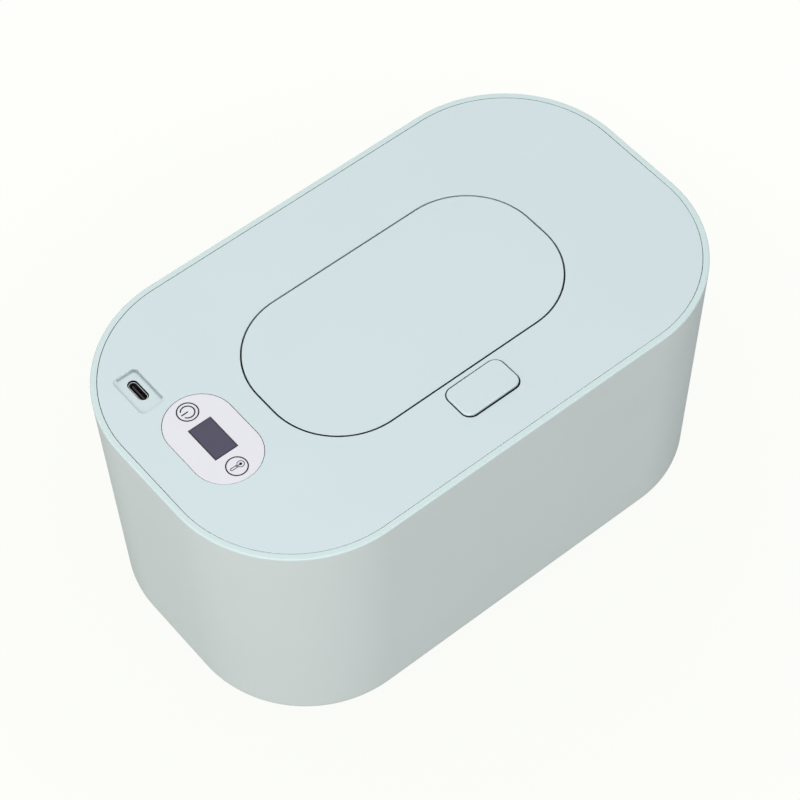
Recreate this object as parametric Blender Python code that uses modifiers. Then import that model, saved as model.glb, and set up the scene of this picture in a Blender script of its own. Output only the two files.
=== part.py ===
"""Baby wipe warmer: a tapered box, a lift-off heated cover with a flip lid, and its release button.

Metres, +Z up. The origin is on the ground under the middle of the box. +X runs along the length,
the release button is on the -Y side, and the control panel and the power inlet are at the -X end.
Depths are measured down from the top of the deck.
"""

import math

import bmesh
import bpy
from mathutils import Matrix, Vector

# General fits
FIT = 0.0003
OVERRUN = 0.0010
SINK = 0.0004
END_FLAT = 0.00004
MERGE = 0.00001

# Box
BOX_LENGTH = 0.2154
BOX_WIDTH = 0.1294
BOX_END_FLAT = 0.0320
BOX_HEIGHT = 0.1018
BOX_WALL = 0.0022
BOX_FLOOR = 0.0026
WALL_DRAFT = 0.0032
BASE_ROUND = 0.0030
INNER_ROUND = 0.0045
RIM_WIDTH = 0.00225
RIM_ROUND = 0.0006
LEDGE_DEPTH = 0.0085
LEDGE_WIDTH = 0.0032
LEDGE_THICKNESS = 0.0018

# Feet
FOOT_RADIUS = 0.0060
FOOT_STAND = 0.0012
FOOT_SEAT = 0.0010
FOOT_EDGE = 0.0030
FOOT_ROUND = 0.0004

# Deck of the cover
SEAM = 0.0003
DECK_THICKNESS = 0.0016
DECK_ROUND = 0.0003
SKIRT_WALL = 0.0018
SEAL_HEIGHT = 0.0014
SEAL_WIDTH = 0.0024

# Tray under the deck
TRAY_CLEARANCE = 0.0012
TRAY_DEPTH = 0.0160
TRAY_FLOOR = 0.0020
TRAY_WALL = 0.0018

# Flip lid and the bay it lies in
LID_PANEL_GAP = 0.00965
LID_SIDE_MARGIN = 0.0330
LID_END_FLAT = 0.0086
LID_GAP = 0.0006
LID_DRAFT = 0.0004
LID_ROUND = 0.0003
LID_INNER_INSET = 0.0018
LID_INNER_THICKNESS = 0.0016
LID_SEAL_HEIGHT = 0.0014
LID_SEAL_WIDTH = 0.0022
BAY_WALL = 0.0016

# Well and opening that the wipes are pulled through
WELL_END_SETBACK = 0.00765
WELL_SIDE_SETBACK = 0.0077
WELL_WALL = 0.0018
APERTURE_END_SETBACK = 0.0090
APERTURE_SIDE_SETBACK = 0.0080
COLLAR_WALL = 0.0016
COLLAR_CLEARANCE = 0.0004

# Hidden hinge
PIN_SETBACK = 0.0070
PIN_DEPTH = 0.0041
PIN_RADIUS = 0.0010
PIN_PLAY = 0.00025
EYE_RADIUS = 0.0021
NECK_DROP = 0.0081
NECK_REACH = 0.0094
NECK_THICKNESS = 0.0020
ARM_WIDTH = 0.0060
ARM_EDGE_MARGIN = 0.00325
ARM_CLEARANCE = 0.0006
LUG_THICKNESS = 0.0018
LUG_REACH = 0.0032
LUG_DROP = 0.0034

# Spring that lifts the flip lid
LID_SPRING_RADIUS = 0.00185
LID_SPRING_WIRE = 0.00035
LID_SPRING_TURNS = 3
LID_SPRING_PITCH = 0.00115
LID_SPRING_TAIL = 0.0024
LID_SPRING_HOOK = 0.0030
LID_SPRING_REST = 0.0045

# Catch of the lid and the latch slide
CATCH_SETBACK = 0.0007
CATCH_LIP = 0.0021
CATCH_TAB = 0.0016
CATCH_WIDTH = 0.0090
CATCH_BITE = 0.0010
LATCH_CLEARANCE = 0.0008
LATCH_THICKNESS = 0.0018
LATCH_WIDTH = 0.0280
LATCH_WALL_GAP = 0.0006
NOSE_WIDTH = 0.0110
NOSE_TIP = 0.0008
RAIL_THICKNESS = 0.0016
RAIL_FOOT = 0.0014
RAIL_INSET = 0.0020
SPRING_STOP = 0.0015
SPRING_STOP_WIDTH = 0.0080
LATCH_SPRING_PACKED = 0.0035
LATCH_SPRING_RADIUS = 0.0016
LATCH_SPRING_WIRE = 0.00025
LATCH_SPRING_TURNS = 5

# Release button
BUTTON_LENGTH = 0.0242
BUTTON_WIDTH = 0.0140
BUTTON_CORNER = 0.0035
BUTTON_SIDE_GAP = 0.0004
BUTTON_FRONT_GAP = 0.00055
BUTTON_BACK_GAP = 0.00025
BUTTON_LID_GAP = 0.0025
BUTTON_RISE = 0.0010
BUTTON_BACK_RISE = 0.0006
BUTTON_SKIRT = 0.0056
BUTTON_TOP = 0.0018
BUTTON_WALL = 0.0016
BUTTON_ROUND = 0.0008
BUTTON_TRAVEL = 0.0018
BUTTON_STOP_REACH = 0.0015
BUTTON_STOP_WIDTH = 0.0080
BUTTON_STOP_THICKNESS = 0.0012
CAM_WIDTH = 0.0070
CAM_LENGTH = 0.0026
CAM_TOP = 0.0050
CAM_BITE = 0.0010
CAM_BACK = 0.0032
RAMP_FLAT = 0.0010

# Control panel
PANEL_END_MARGIN = 0.0144
PANEL_WIDTH = 0.0250
PANEL_LENGTH = 0.0391
PANEL_THICKNESS = 0.0005
WINDOW_WIDTH = 0.0091
WINDOW_LENGTH = 0.0150
WINDOW_LEDGE = 0.0006
KEY_MARGIN = 0.00575
DISPLAY_WIDTH = 0.0110
DISPLAY_LENGTH = 0.0170

# Control board
BOARD_END_MARGIN = 0.0167
BOARD_PORT_REACH = 0.0074
BOARD_KEY_REACH = 0.0132
BOARD_WIDTH = 0.0250
BOARD_CORNER = 0.0060
BOARD_DEPTH = 0.0115
BOARD_THICKNESS = 0.0016
BOARD_BOSS_RADIUS = 0.0022
KEY_SPRING_RADIUS = 0.0026
KEY_SPRING_WIRE = 0.0003
KEY_SPRING_TURNS = 5
CONNECTOR_SETBACK = 0.0045
CONNECTOR_DEPTH = 0.0050
CONNECTOR_HEIGHT = 0.0060
HEATER_CONNECTOR_SETBACK = 0.0070
HEATER_CONNECTOR_WIDTH = 0.0075
SENSOR_CONNECTOR_SETBACK = 0.0075
SENSOR_CONNECTOR_WIDTH = 0.0055

# Power inlet
RECESS_END_MARGIN = 0.0195
RECESS_PANEL_GAP = 0.0027
PORT_SHELL_WIDTH = 0.0033
PORT_SHELL_LENGTH = 0.0090
PORT_SHELL_WALL = 0.0003
PORT_MARGIN = 0.0003
RECESS_WIDTH = 0.0099
RECESS_LENGTH = 0.0177
RECESS_CORNER = 0.0020
RECESS_DEPTH = 0.0011
PORT_SHIFT_X = 0.0004
PORT_SHIFT_Y = 0.0010
PORT_SETBACK = 0.0005
RECESS_FLOOR = 0.0016
TONGUE_WIDTH = 0.0007
TONGUE_LENGTH = 0.0067
TONGUE_SETBACK = 0.0012
CORE_HEIGHT = 0.0030

# Heater under the tray
PLATE_END_MARGIN = 0.0197
PLATE_SIDE_MARGIN = 0.0217
PLATE_CORNER = 0.0280
PLATE_THICKNESS = 0.0010
FILM_THICKNESS = 0.0004
FILM_INSET = 0.0020
PAD_THICKNESS = 0.0030
FRAME_WALL = 0.0016
HEAT_BOSS_END = 0.0120
HEAT_BOSS_SIDE = 0.0210
HEAT_BOSS_RADIUS = 0.0030
HEAT_BOSS_CLEARANCE = 0.0004

# Wiring
GROMMET_PLATE_EDGE = 0.0070
GROMMET_BORE = 0.0026
GROMMET_NECK = 0.0038
GROMMET_FLANGE = 0.0047
GROMMET_LIP = 0.0010
LEAD_RADIUS = 0.0007
LEAD_SPREAD = 0.0011
LEAD_FRONT = 0.0008
LEAD_BACK = 0.0012
LEAD_PIN_SPACING = 0.0012
LEAD_BEND = 0.0020
FUSE_RADIUS = 0.0012
FUSE_LENGTH = 0.0090
FUSE_LEG_RADIUS = 0.0004
FUSE_LEG = 0.0030
FUSE_SHIFT = 0.0022
BEAD_RADIUS = 0.0011
BEAD_LENGTH = 0.0050
BEAD_SHIFT = 0.0016
SENSOR_GAP = 0.0050
PAD_WINDOW_LENGTH = 0.0300
PAD_WINDOW_WIDTH = 0.0080

# Screws: shank radius, head radius, head height, length of the shank
COVER_SCREW = (0.0013, 0.0026, 0.0016, 0.0100)
BOARD_SCREW = (0.0009, 0.0018, 0.0012, 0.0060)
HEAT_SCREW = (0.0010, 0.0022, 0.0014, 0.0055)
PILOT_PLAY = 0.0003
PILOT_SPARE = 0.0010
COVER_BOSS_RADIUS = 0.0028
COVER_SCREW_END_MARGIN = 0.0137
COVER_SCREW_SIDE_MARGIN = 0.0142
COVER_SCREW_CORNER_MARGIN = 0.0677
BOARD_SCREW_EDGE = 0.0030
BOARD_SCREW_BACK = 0.0055
BOARD_SCREW_MIDDLE = 0.0130
BOARD_SCREW_FRONT = 0.0110

# Fineness of round shapes
CORNER_STEPS = 10
SMALL_CORNER_STEPS = 4
EDGE_STEPS = 3
ROUND_SIDES = 16
POST_SIDES = 12
SMALL_SIDES = 8
COIL_STEPS = 8
ROUTE_STEPS = 3

# Worked out from the sizes above
HALF_FIT = FIT / 2
BOX_BOTTOM = FOOT_STAND
DECK_TOP = BOX_BOTTOM + BOX_HEIGHT
BOX_END = BOX_LENGTH / 2
BOX_SIDE = BOX_WIDTH / 2
BOX_CORNER = BOX_SIDE - BOX_END_FLAT / 2
LEDGE_OPENING = RIM_WIDTH + LEDGE_WIDTH
SKIRT_DEPTH = LEDGE_DEPTH - SEAL_HEIGHT - 2 * FIT
TRAY_BOTTOM = TRAY_DEPTH + TRAY_FLOOR
PANEL_X = PANEL_END_MARGIN + PANEL_WIDTH / 2 - BOX_END
KEY_Y = PANEL_LENGTH / 2 - KEY_MARGIN
LID_END = BOX_END - PANEL_END_MARGIN - PANEL_WIDTH - LID_PANEL_GAP
LID_BACK = BOX_SIDE - LID_SIDE_MARGIN
LID_LENGTH = 2 * LID_END
LID_WIDTH = 2 * LID_BACK
LID_CORNER = LID_BACK - LID_END_FLAT / 2
WELL_LENGTH = LID_LENGTH - 2 * WELL_END_SETBACK
WELL_WIDTH = LID_WIDTH - 2 * WELL_SIDE_SETBACK
APERTURE_LENGTH = WELL_LENGTH - 2 * APERTURE_END_SETBACK
APERTURE_WIDTH = WELL_WIDTH - 2 * APERTURE_SIDE_SETBACK
PIN_Y = LID_BACK + PIN_SETBACK
ARM_X = LID_END - LID_CORNER - ARM_EDGE_MARGIN
LUG_SPAN = LID_SPRING_TURNS * LID_SPRING_PITCH + 2 * (LID_SPRING_WIRE + FIT)
INNER_TOP = DECK_THICKNESS + FIT
INNER_BOTTOM = INNER_TOP + LID_INNER_THICKNESS
LID_SEAL_TOP = INNER_BOTTOM + FIT
WELL_TOP = LID_SEAL_TOP + LID_SEAL_HEIGHT + FIT
PAD_TOP = TRAY_BOTTOM + FIT
FILM_TOP = PAD_TOP + PAD_THICKNESS + FIT
PLATE_TOP = FILM_TOP + FILM_THICKNESS + FIT
PLATE_BOTTOM = PLATE_TOP + PLATE_THICKNESS
BUTTON_Y = -LID_BACK - BUTTON_LID_GAP - BUTTON_WIDTH / 2
LATCH_FRONT = BUTTON_WIDTH / 2 - BUTTON_Y + FIT
LATCH_DEPTH = BUTTON_SKIRT + BUTTON_TRAVEL + LATCH_CLEARANCE
LATCH_SPRING_SPACE = LATCH_SPRING_PACKED + BUTTON_TRAVEL
CATCH_DEPTH = LATCH_DEPTH + LATCH_THICKNESS + FIT
BAY_OUTER = LID_GAP + BAY_WALL
BAY_Y = LID_BACK + BAY_OUTER
PANEL_POCKET = PANEL_THICKNESS + FIT
RECESS_X = RECESS_END_MARGIN - BOX_END
RECESS_Y = PANEL_LENGTH / 2 + RECESS_PANEL_GAP + RECESS_LENGTH / 2
PORT_X = RECESS_X + PORT_SHIFT_X
PORT_Y = RECESS_Y + PORT_SHIFT_Y
BOARD_OUTER_X = BOARD_END_MARGIN - BOX_END
BOARD_INNER_X = BOARD_OUTER_X + BOARD_WIDTH
BOARD_BACK_Y = PORT_Y + BOARD_PORT_REACH
BOARD_FRONT_Y = -KEY_Y - BOARD_KEY_REACH
BOARD_LENGTH = BOARD_BACK_Y - BOARD_FRONT_Y
BOARD_UNDERSIDE = BOARD_DEPTH + BOARD_THICKNESS
CONNECTOR_Y = BOARD_FRONT_Y + CONNECTOR_SETBACK
HEATER_CONNECTOR_X = BOARD_OUTER_X + HEATER_CONNECTOR_SETBACK
SENSOR_CONNECTOR_X = BOARD_INNER_X - SENSOR_CONNECTOR_SETBACK
PLATE_LENGTH = BOX_LENGTH - 2 * PLATE_END_MARGIN
PLATE_WIDTH = BOX_WIDTH - 2 * PLATE_SIDE_MARGIN
GROMMET_X = BOARD_INNER_X
GROMMET_Y = GROMMET_PLATE_EDGE - PLATE_WIDTH / 2
PART_DEPTH = BOARD_DEPTH - FIT

PLASTIC = ((0.66, 0.78, 0.80), 0.42, 0.0)
SHELL_WHITE = ((0.86, 0.88, 0.88), 0.45, 0.0)
PANEL_WHITE = ((0.80, 0.81, 0.86), 0.30, 0.0)
SILICONE = ((0.72, 0.74, 0.75), 0.60, 0.0)
RUBBER = ((0.10, 0.10, 0.11), 0.75, 0.0)
SMOKED = ((0.07, 0.06, 0.09), 0.15, 0.0)
STEEL = ((0.60, 0.60, 0.62), 0.28, 1.0)
ALUMINIUM = ((0.78, 0.79, 0.80), 0.35, 1.0)
FILM_ORANGE = ((0.55, 0.24, 0.05), 0.40, 0.0)
FOAM = ((0.55, 0.56, 0.58), 0.90, 0.0)
BOARD_GREEN = ((0.03, 0.20, 0.09), 0.40, 0.0)
BLACK_PLASTIC = ((0.02, 0.02, 0.025), 0.40, 0.0)
NYLON = ((0.80, 0.78, 0.70), 0.50, 0.0)
RED_SLEEVE = ((0.50, 0.03, 0.02), 0.50, 0.0)
BLACK_SLEEVE = ((0.02, 0.02, 0.02), 0.50, 0.0)
WHITE_SLEEVE = ((0.75, 0.75, 0.72), 0.50, 0.0)


def clear_scene():
    for obj in list(bpy.data.objects):
        bpy.data.objects.remove(obj, do_unlink=True)


def new_collection(name, hidden=False):
    made = bpy.data.collections.new(name)
    bpy.context.scene.collection.children.link(made)
    made.hide_render = hidden
    return made


def finish(obj, name, look):
    """Names a part, gives it its own material, shades it smooth and puts it with the other parts."""
    colour, roughness, metallic = look
    material = bpy.data.materials.new(name)
    material.use_nodes = True
    shader = material.node_tree.nodes["Principled BSDF"]
    shader.inputs["Base Color"].default_value = (*colour, 1)
    shader.inputs["Roughness"].default_value = roughness
    shader.inputs["Metallic"].default_value = metallic
    obj.name = name
    obj.data.name = name
    obj.data.materials.append(material)
    if obj.type == "MESH":
        obj.data.shade_smooth()
        obj.data.set_sharp_from_angle(angle=math.radians(32))
    PARTS.objects.link(obj)
    return obj


def helper(obj, group):
    obj.hide_render = True
    obj.display_type = "WIRE"
    group.objects.link(obj)
    return obj


def shape_with(obj, adds=(), cuts=()):
    """Joins the first list of helper solids to the object, then cuts the second list from it."""
    for word, solids, operation in (("adds", adds, "UNION"), ("cuts", cuts, "DIFFERENCE")):
        if not solids:
            continue
        group = bpy.data.collections.new(f"{obj.name} {word}")
        CUTTERS.children.link(group)
        for solid in solids:
            helper(solid, group)
        modifier = obj.modifiers.new(word, "BOOLEAN")
        modifier.operation = operation
        modifier.operand_type = "COLLECTION"
        modifier.collection = group
        modifier.solver = "EXACT"
    return obj


def mesh_object(name, work):
    bmesh.ops.recalc_face_normals(work, faces=work.faces)
    mesh = bpy.data.meshes.new(name)
    work.to_mesh(mesh)
    work.free()
    return bpy.data.objects.new(name, mesh)


def rounded(length, width, corner, steps=CORNER_STEPS, x=0.0, y=0.0):
    """Outline of a rectangle with round corners, anticlockwise, as (x, y) points."""
    points = []
    for quarter, (side_x, side_y) in enumerate(((1, 1), (-1, 1), (-1, -1), (1, -1))):
        centre_x = x + side_x * (length / 2 - corner)
        centre_y = y + side_y * (width / 2 - corner)
        for step in range(steps + 1):
            angle = math.pi / 2 * (quarter + step / steps)
            points.append((centre_x + corner * math.cos(angle), centre_y + corner * math.sin(angle)))
    return points


def slot(length, width, steps=CORNER_STEPS, x=0.0, y=0.0):
    """Outline with two straight sides and two half-round ends, the longer size first."""
    return rounded(length, width, width / 2 - END_FLAT, steps, x, y)


def box_outline(inset):
    return rounded(BOX_LENGTH - 2 * inset, BOX_WIDTH - 2 * inset, BOX_CORNER - inset)


def lid_outline(inset):
    return rounded(LID_LENGTH - 2 * inset, LID_WIDTH - 2 * inset, LID_CORNER - inset)


def circle(radius, x, y, sides=POST_SIDES):
    turn = 2 * math.pi / sides
    return [(x + radius * math.cos(turn * i), y + radius * math.sin(turn * i)) for i in range(sides)]


def level(outline, z):
    return [(x, y, z) for x, y in outline]


def loft(name, rings, closed=False):
    """Solid through rings of equal point counts, with end caps, or closed on itself like a gasket."""
    work = bmesh.new()
    loops = [[work.verts.new(point) for point in ring] for ring in rings]
    count = len(loops[0])
    pairs = list(zip(loops, loops[1:]))
    if closed:
        pairs.append((loops[-1], loops[0]))
    for lower, upper in pairs:
        for i in range(count):
            j = (i + 1) % count
            work.faces.new((lower[i], lower[j], upper[j], upper[i]))
    if not closed:
        work.faces.new(list(reversed(loops[0])))
        work.faces.new(loops[-1])
    return mesh_object(name, work)


def prism(name, outline, deep, shallow):
    """Upright solid on an outline, between two depths under the deck's top."""
    return loft(name, [level(outline, DECK_TOP - deep), level(outline, DECK_TOP - shallow)])


def gasket(name, outer, inner, deep, shallow):
    """Ring of rectangular section between two outlines."""
    low = DECK_TOP - deep
    high = DECK_TOP - shallow
    return loft(name, [level(outer, low), level(outer, high), level(inner, high), level(inner, low)], True)


def plate(name, outlines, deep, shallow):
    """Flat sheet from a filled 2D curve. The first outline is its edge, the others are holes."""
    curve = bpy.data.curves.new(name, "CURVE")
    curve.dimensions = "2D"
    curve.fill_mode = "BOTH"
    curve.extrude = (deep - shallow) / 2
    for outline in outlines:
        spline = curve.splines.new("POLY")
        spline.points.add(len(outline) - 1)
        for point, (x, y) in zip(spline.points, outline):
            point.co = (x, y, 0, 1)
        spline.use_cyclic_u = True
    obj = bpy.data.objects.new(name, curve)
    obj.location.z = DECK_TOP - (deep + shallow) / 2
    return obj


def block(name, x_range, y_range, deep, shallow):
    """Box between two x values, two y values and two depths."""
    low = Vector((min(x_range), min(y_range), DECK_TOP - deep))
    high = Vector((max(x_range), max(y_range), DECK_TOP - shallow))
    work = bmesh.new()
    bmesh.ops.create_cube(work, size=1)
    place = Matrix.Translation((high + low) / 2) @ Matrix.Diagonal((*(high - low), 1))
    bmesh.ops.transform(work, matrix=place, verts=work.verts)
    return mesh_object(name, work)


def post(name, radius, x, y, deep, shallow, sides=POST_SIDES):
    """Upright cylinder between two depths."""
    work = bmesh.new()
    height = deep - shallow
    bmesh.ops.create_cone(work, cap_ends=True, segments=sides, radius1=radius, radius2=radius, depth=height)
    bmesh.ops.translate(work, vec=(x, y, DECK_TOP - (deep + shallow) / 2), verts=work.verts)
    return mesh_object(name, work)


def rod(name, radius, x_range, y, depth, sides=POST_SIDES):
    """Cylinder along X at a depth."""
    work = bmesh.new()
    length = x_range[1] - x_range[0]
    bmesh.ops.create_cone(work, cap_ends=True, segments=sides, radius1=radius, radius2=radius, depth=length)
    place = Matrix.Translation((sum(x_range) / 2, y, DECK_TOP - depth))
    bmesh.ops.transform(work, matrix=place @ Matrix.Rotation(math.pi / 2, 4, "Y"), verts=work.verts)
    return mesh_object(name, work)


def side_prism(name, points, x_range):
    """Solid along X on a side profile of (y, depth) points."""
    rings = [[(x, y, DECK_TOP - depth) for y, depth in points] for x in x_range]
    return loft(name, rings)


def turned(name, profile, location, sides=ROUND_SIDES, along_x=False, ring=False):
    """Turned solid. The profile's (radius, height) points run down its outer side."""
    mesh = bpy.data.meshes.new(name)
    edges = [(i, i + 1) for i in range(len(profile) - 1)]
    if ring:
        edges.append((len(profile) - 1, 0))
    mesh.from_pydata([(radius, 0, height) for radius, height in profile], edges, [])
    obj = bpy.data.objects.new(name, mesh)
    screw = obj.modifiers.new("turn", "SCREW")
    screw.steps = sides
    screw.render_steps = sides
    screw.use_merge_vertices = True
    screw.merge_threshold = MERGE
    obj.location = location
    if along_x:
        obj.rotation_euler.y = math.pi / 2
    return obj


def tube(name, points, radius, resolution):
    """Round wire with filled ends through its points."""
    curve = bpy.data.curves.new(name, "CURVE")
    curve.dimensions = "3D"
    curve.bevel_depth = radius
    curve.bevel_resolution = resolution
    curve.use_fill_caps = True
    spline = curve.splines.new("POLY")
    spline.points.add(len(points) - 1)
    for point, place in zip(spline.points, points):
        point.co = (*place, 1)
    return bpy.data.objects.new(name, curve)


def smooth_route(points, steps):
    """Points along a smooth curve through the given ones."""
    places = [Vector(point) for point in points]
    padded = [2 * places[0] - places[1], *places, 2 * places[-1] - places[-2]]
    route = []
    for before, start, end, after in zip(padded, padded[1:], padded[2:], padded[3:]):
        for step in range(steps):
            t = step / steps
            bend = (2 * before - 5 * start + 4 * end - after) * t * t
            twist = (3 * start - before - 3 * end + after) * t * t * t
            route.append((2 * start + (end - before) * t + bend + twist) / 2)
    route.append(places[-1])
    return route


def box_body():
    """Open tub with a rim, an inner ledge for the cover and recesses for the feet."""
    top = DECK_TOP
    quarter = math.pi / 2

    def draft(z):
        return WALL_DRAFT * (top - z) / BOX_HEIGHT

    rings = []
    for step in range(EDGE_STEPS + 1):
        angle = quarter * step / EDGE_STEPS
        z = BOX_BOTTOM + BASE_ROUND * (1 - math.cos(angle))
        rings.append(level(box_outline(draft(z) + BASE_ROUND * (1 - math.sin(angle))), z))
    for step in range(EDGE_STEPS + 1):
        angle = quarter * step / EDGE_STEPS
        z = top - RIM_ROUND * (1 - math.sin(angle))
        rings.append(level(box_outline(draft(z) + RIM_ROUND * (1 - math.cos(angle))), z))
    ledge = top - LEDGE_DEPTH
    under = ledge - LEDGE_THICKNESS
    slope = under - LEDGE_OPENING
    floor = BOX_BOTTOM + BOX_FLOOR
    rings.append(level(box_outline(RIM_WIDTH), top))
    rings.append(level(box_outline(RIM_WIDTH), ledge))
    rings.append(level(box_outline(LEDGE_OPENING), ledge))
    rings.append(level(box_outline(LEDGE_OPENING), under))
    rings.append(level(box_outline(draft(slope) + BOX_WALL), slope))
    for step in range(EDGE_STEPS + 1):
        angle = quarter * step / EDGE_STEPS
        z = floor + INNER_ROUND * (1 - math.sin(angle))
        rings.append(level(box_outline(draft(z) + BOX_WALL + INNER_ROUND * (1 - math.cos(angle))), z))
    body = loft("box_body", rings)
    deep = DECK_TOP - BOX_BOTTOM
    recesses = [
        post("foot_recess", FOOT_RADIUS + FIT, x, y, deep + OVERRUN, deep - FOOT_SEAT - FIT, ROUND_SIDES)
        for x, y in foot_places().values()
    ]
    finish(body, "box_body", PLASTIC)
    shape_with(body, cuts=recesses)


def foot_places():
    reach = BOX_CORNER - WALL_DRAFT - BASE_ROUND - FOOT_EDGE - FOOT_RADIUS
    x = BOX_LENGTH / 2 - BOX_CORNER + reach * math.sqrt(1 / 2)
    y = BOX_WIDTH / 2 - BOX_CORNER + reach * math.sqrt(1 / 2)
    return {
        "foot_front_left": (-x, -y),
        "foot_front_right": (x, -y),
        "foot_back_left": (-x, y),
        "foot_back_right": (x, y),
    }


def feet():
    top = BOX_BOTTOM + FOOT_SEAT
    profile = [
        (0, top),
        (FOOT_RADIUS, top),
        (FOOT_RADIUS, FOOT_ROUND),
        (FOOT_RADIUS - FOOT_ROUND, 0),
        (0, 0),
    ]
    for name, (x, y) in foot_places().items():
        finish(turned(name, profile, (x, y, 0)), name, RUBBER)


def cover_screw_places():
    end_x = BOX_END - COVER_SCREW_END_MARGIN
    side_x = BOX_END - COVER_SCREW_CORNER_MARGIN
    side_y = BOX_SIDE - COVER_SCREW_SIDE_MARGIN
    places = [(-end_x, 0.0), (end_x, 0.0)]
    places += [(x, y) for y in (-side_y, side_y) for x in (-side_x, side_x)]
    return places


def board_screw_places():
    inner = BOARD_INNER_X - BOARD_SCREW_EDGE
    outer = BOARD_OUTER_X + BOARD_SCREW_EDGE
    return [
        (inner, BOARD_BACK_Y - BOARD_SCREW_BACK),
        (inner, BOARD_FRONT_Y + BOARD_SCREW_MIDDLE),
        (outer, BOARD_FRONT_Y + BOARD_SCREW_FRONT),
    ]


def heat_screw_places():
    boss_x = PLATE_LENGTH / 2 - HEAT_BOSS_END
    boss_y = PLATE_WIDTH / 2 - HEAT_BOSS_SIDE
    return [(x, y) for x in (-boss_x, boss_x) for y in (-boss_y, boss_y)]


def boss_and_pilot(screw, radius, x, y, end, seat):
    """Boss from the underside of a wall to its end, and the pilot hole for its screw."""
    boss = post("boss", radius, x, y, end, seat)
    top = end - screw[3] - PILOT_SPARE
    pilot = post("pilot", screw[0] + PILOT_PLAY, x, y, end + OVERRUN, top, SMALL_SIDES)
    return boss, pilot


def hinge_lug_ranges():
    """The x ranges of the lugs beside the two lid arms."""
    near = ARM_X - ARM_WIDTH / 2 - LUG_SPAN
    far = ARM_X + ARM_WIDTH / 2 + ARM_CLEARANCE
    ranges = []
    for side in (-1, 1):
        ranges.append((side * near, side * (near - LUG_THICKNESS)))
        ranges.append((side * far, side * (far + LUG_THICKNESS)))
    return ranges


def latch_rails():
    """Two hooked rails under the deck that carry the latch slide."""
    inner = LATCH_WIDTH / 2 + FIT
    outer = inner + RAIL_THICKNESS
    foot = LATCH_WIDTH / 2 - RAIL_THICKNESS
    run = (-LATCH_FRONT + RAIL_INSET, -BAY_Y - RAIL_INSET)
    bottom = CATCH_DEPTH + RAIL_FOOT
    solids = []
    for side in (-1, 1):
        solids.append(block("rail", (side * inner, side * outer), run, bottom, DECK_THICKNESS - SINK))
        solids.append(block("rail_foot", (side * foot, side * (inner + SINK)), run, bottom, CATCH_DEPTH))
    return solids


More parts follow.
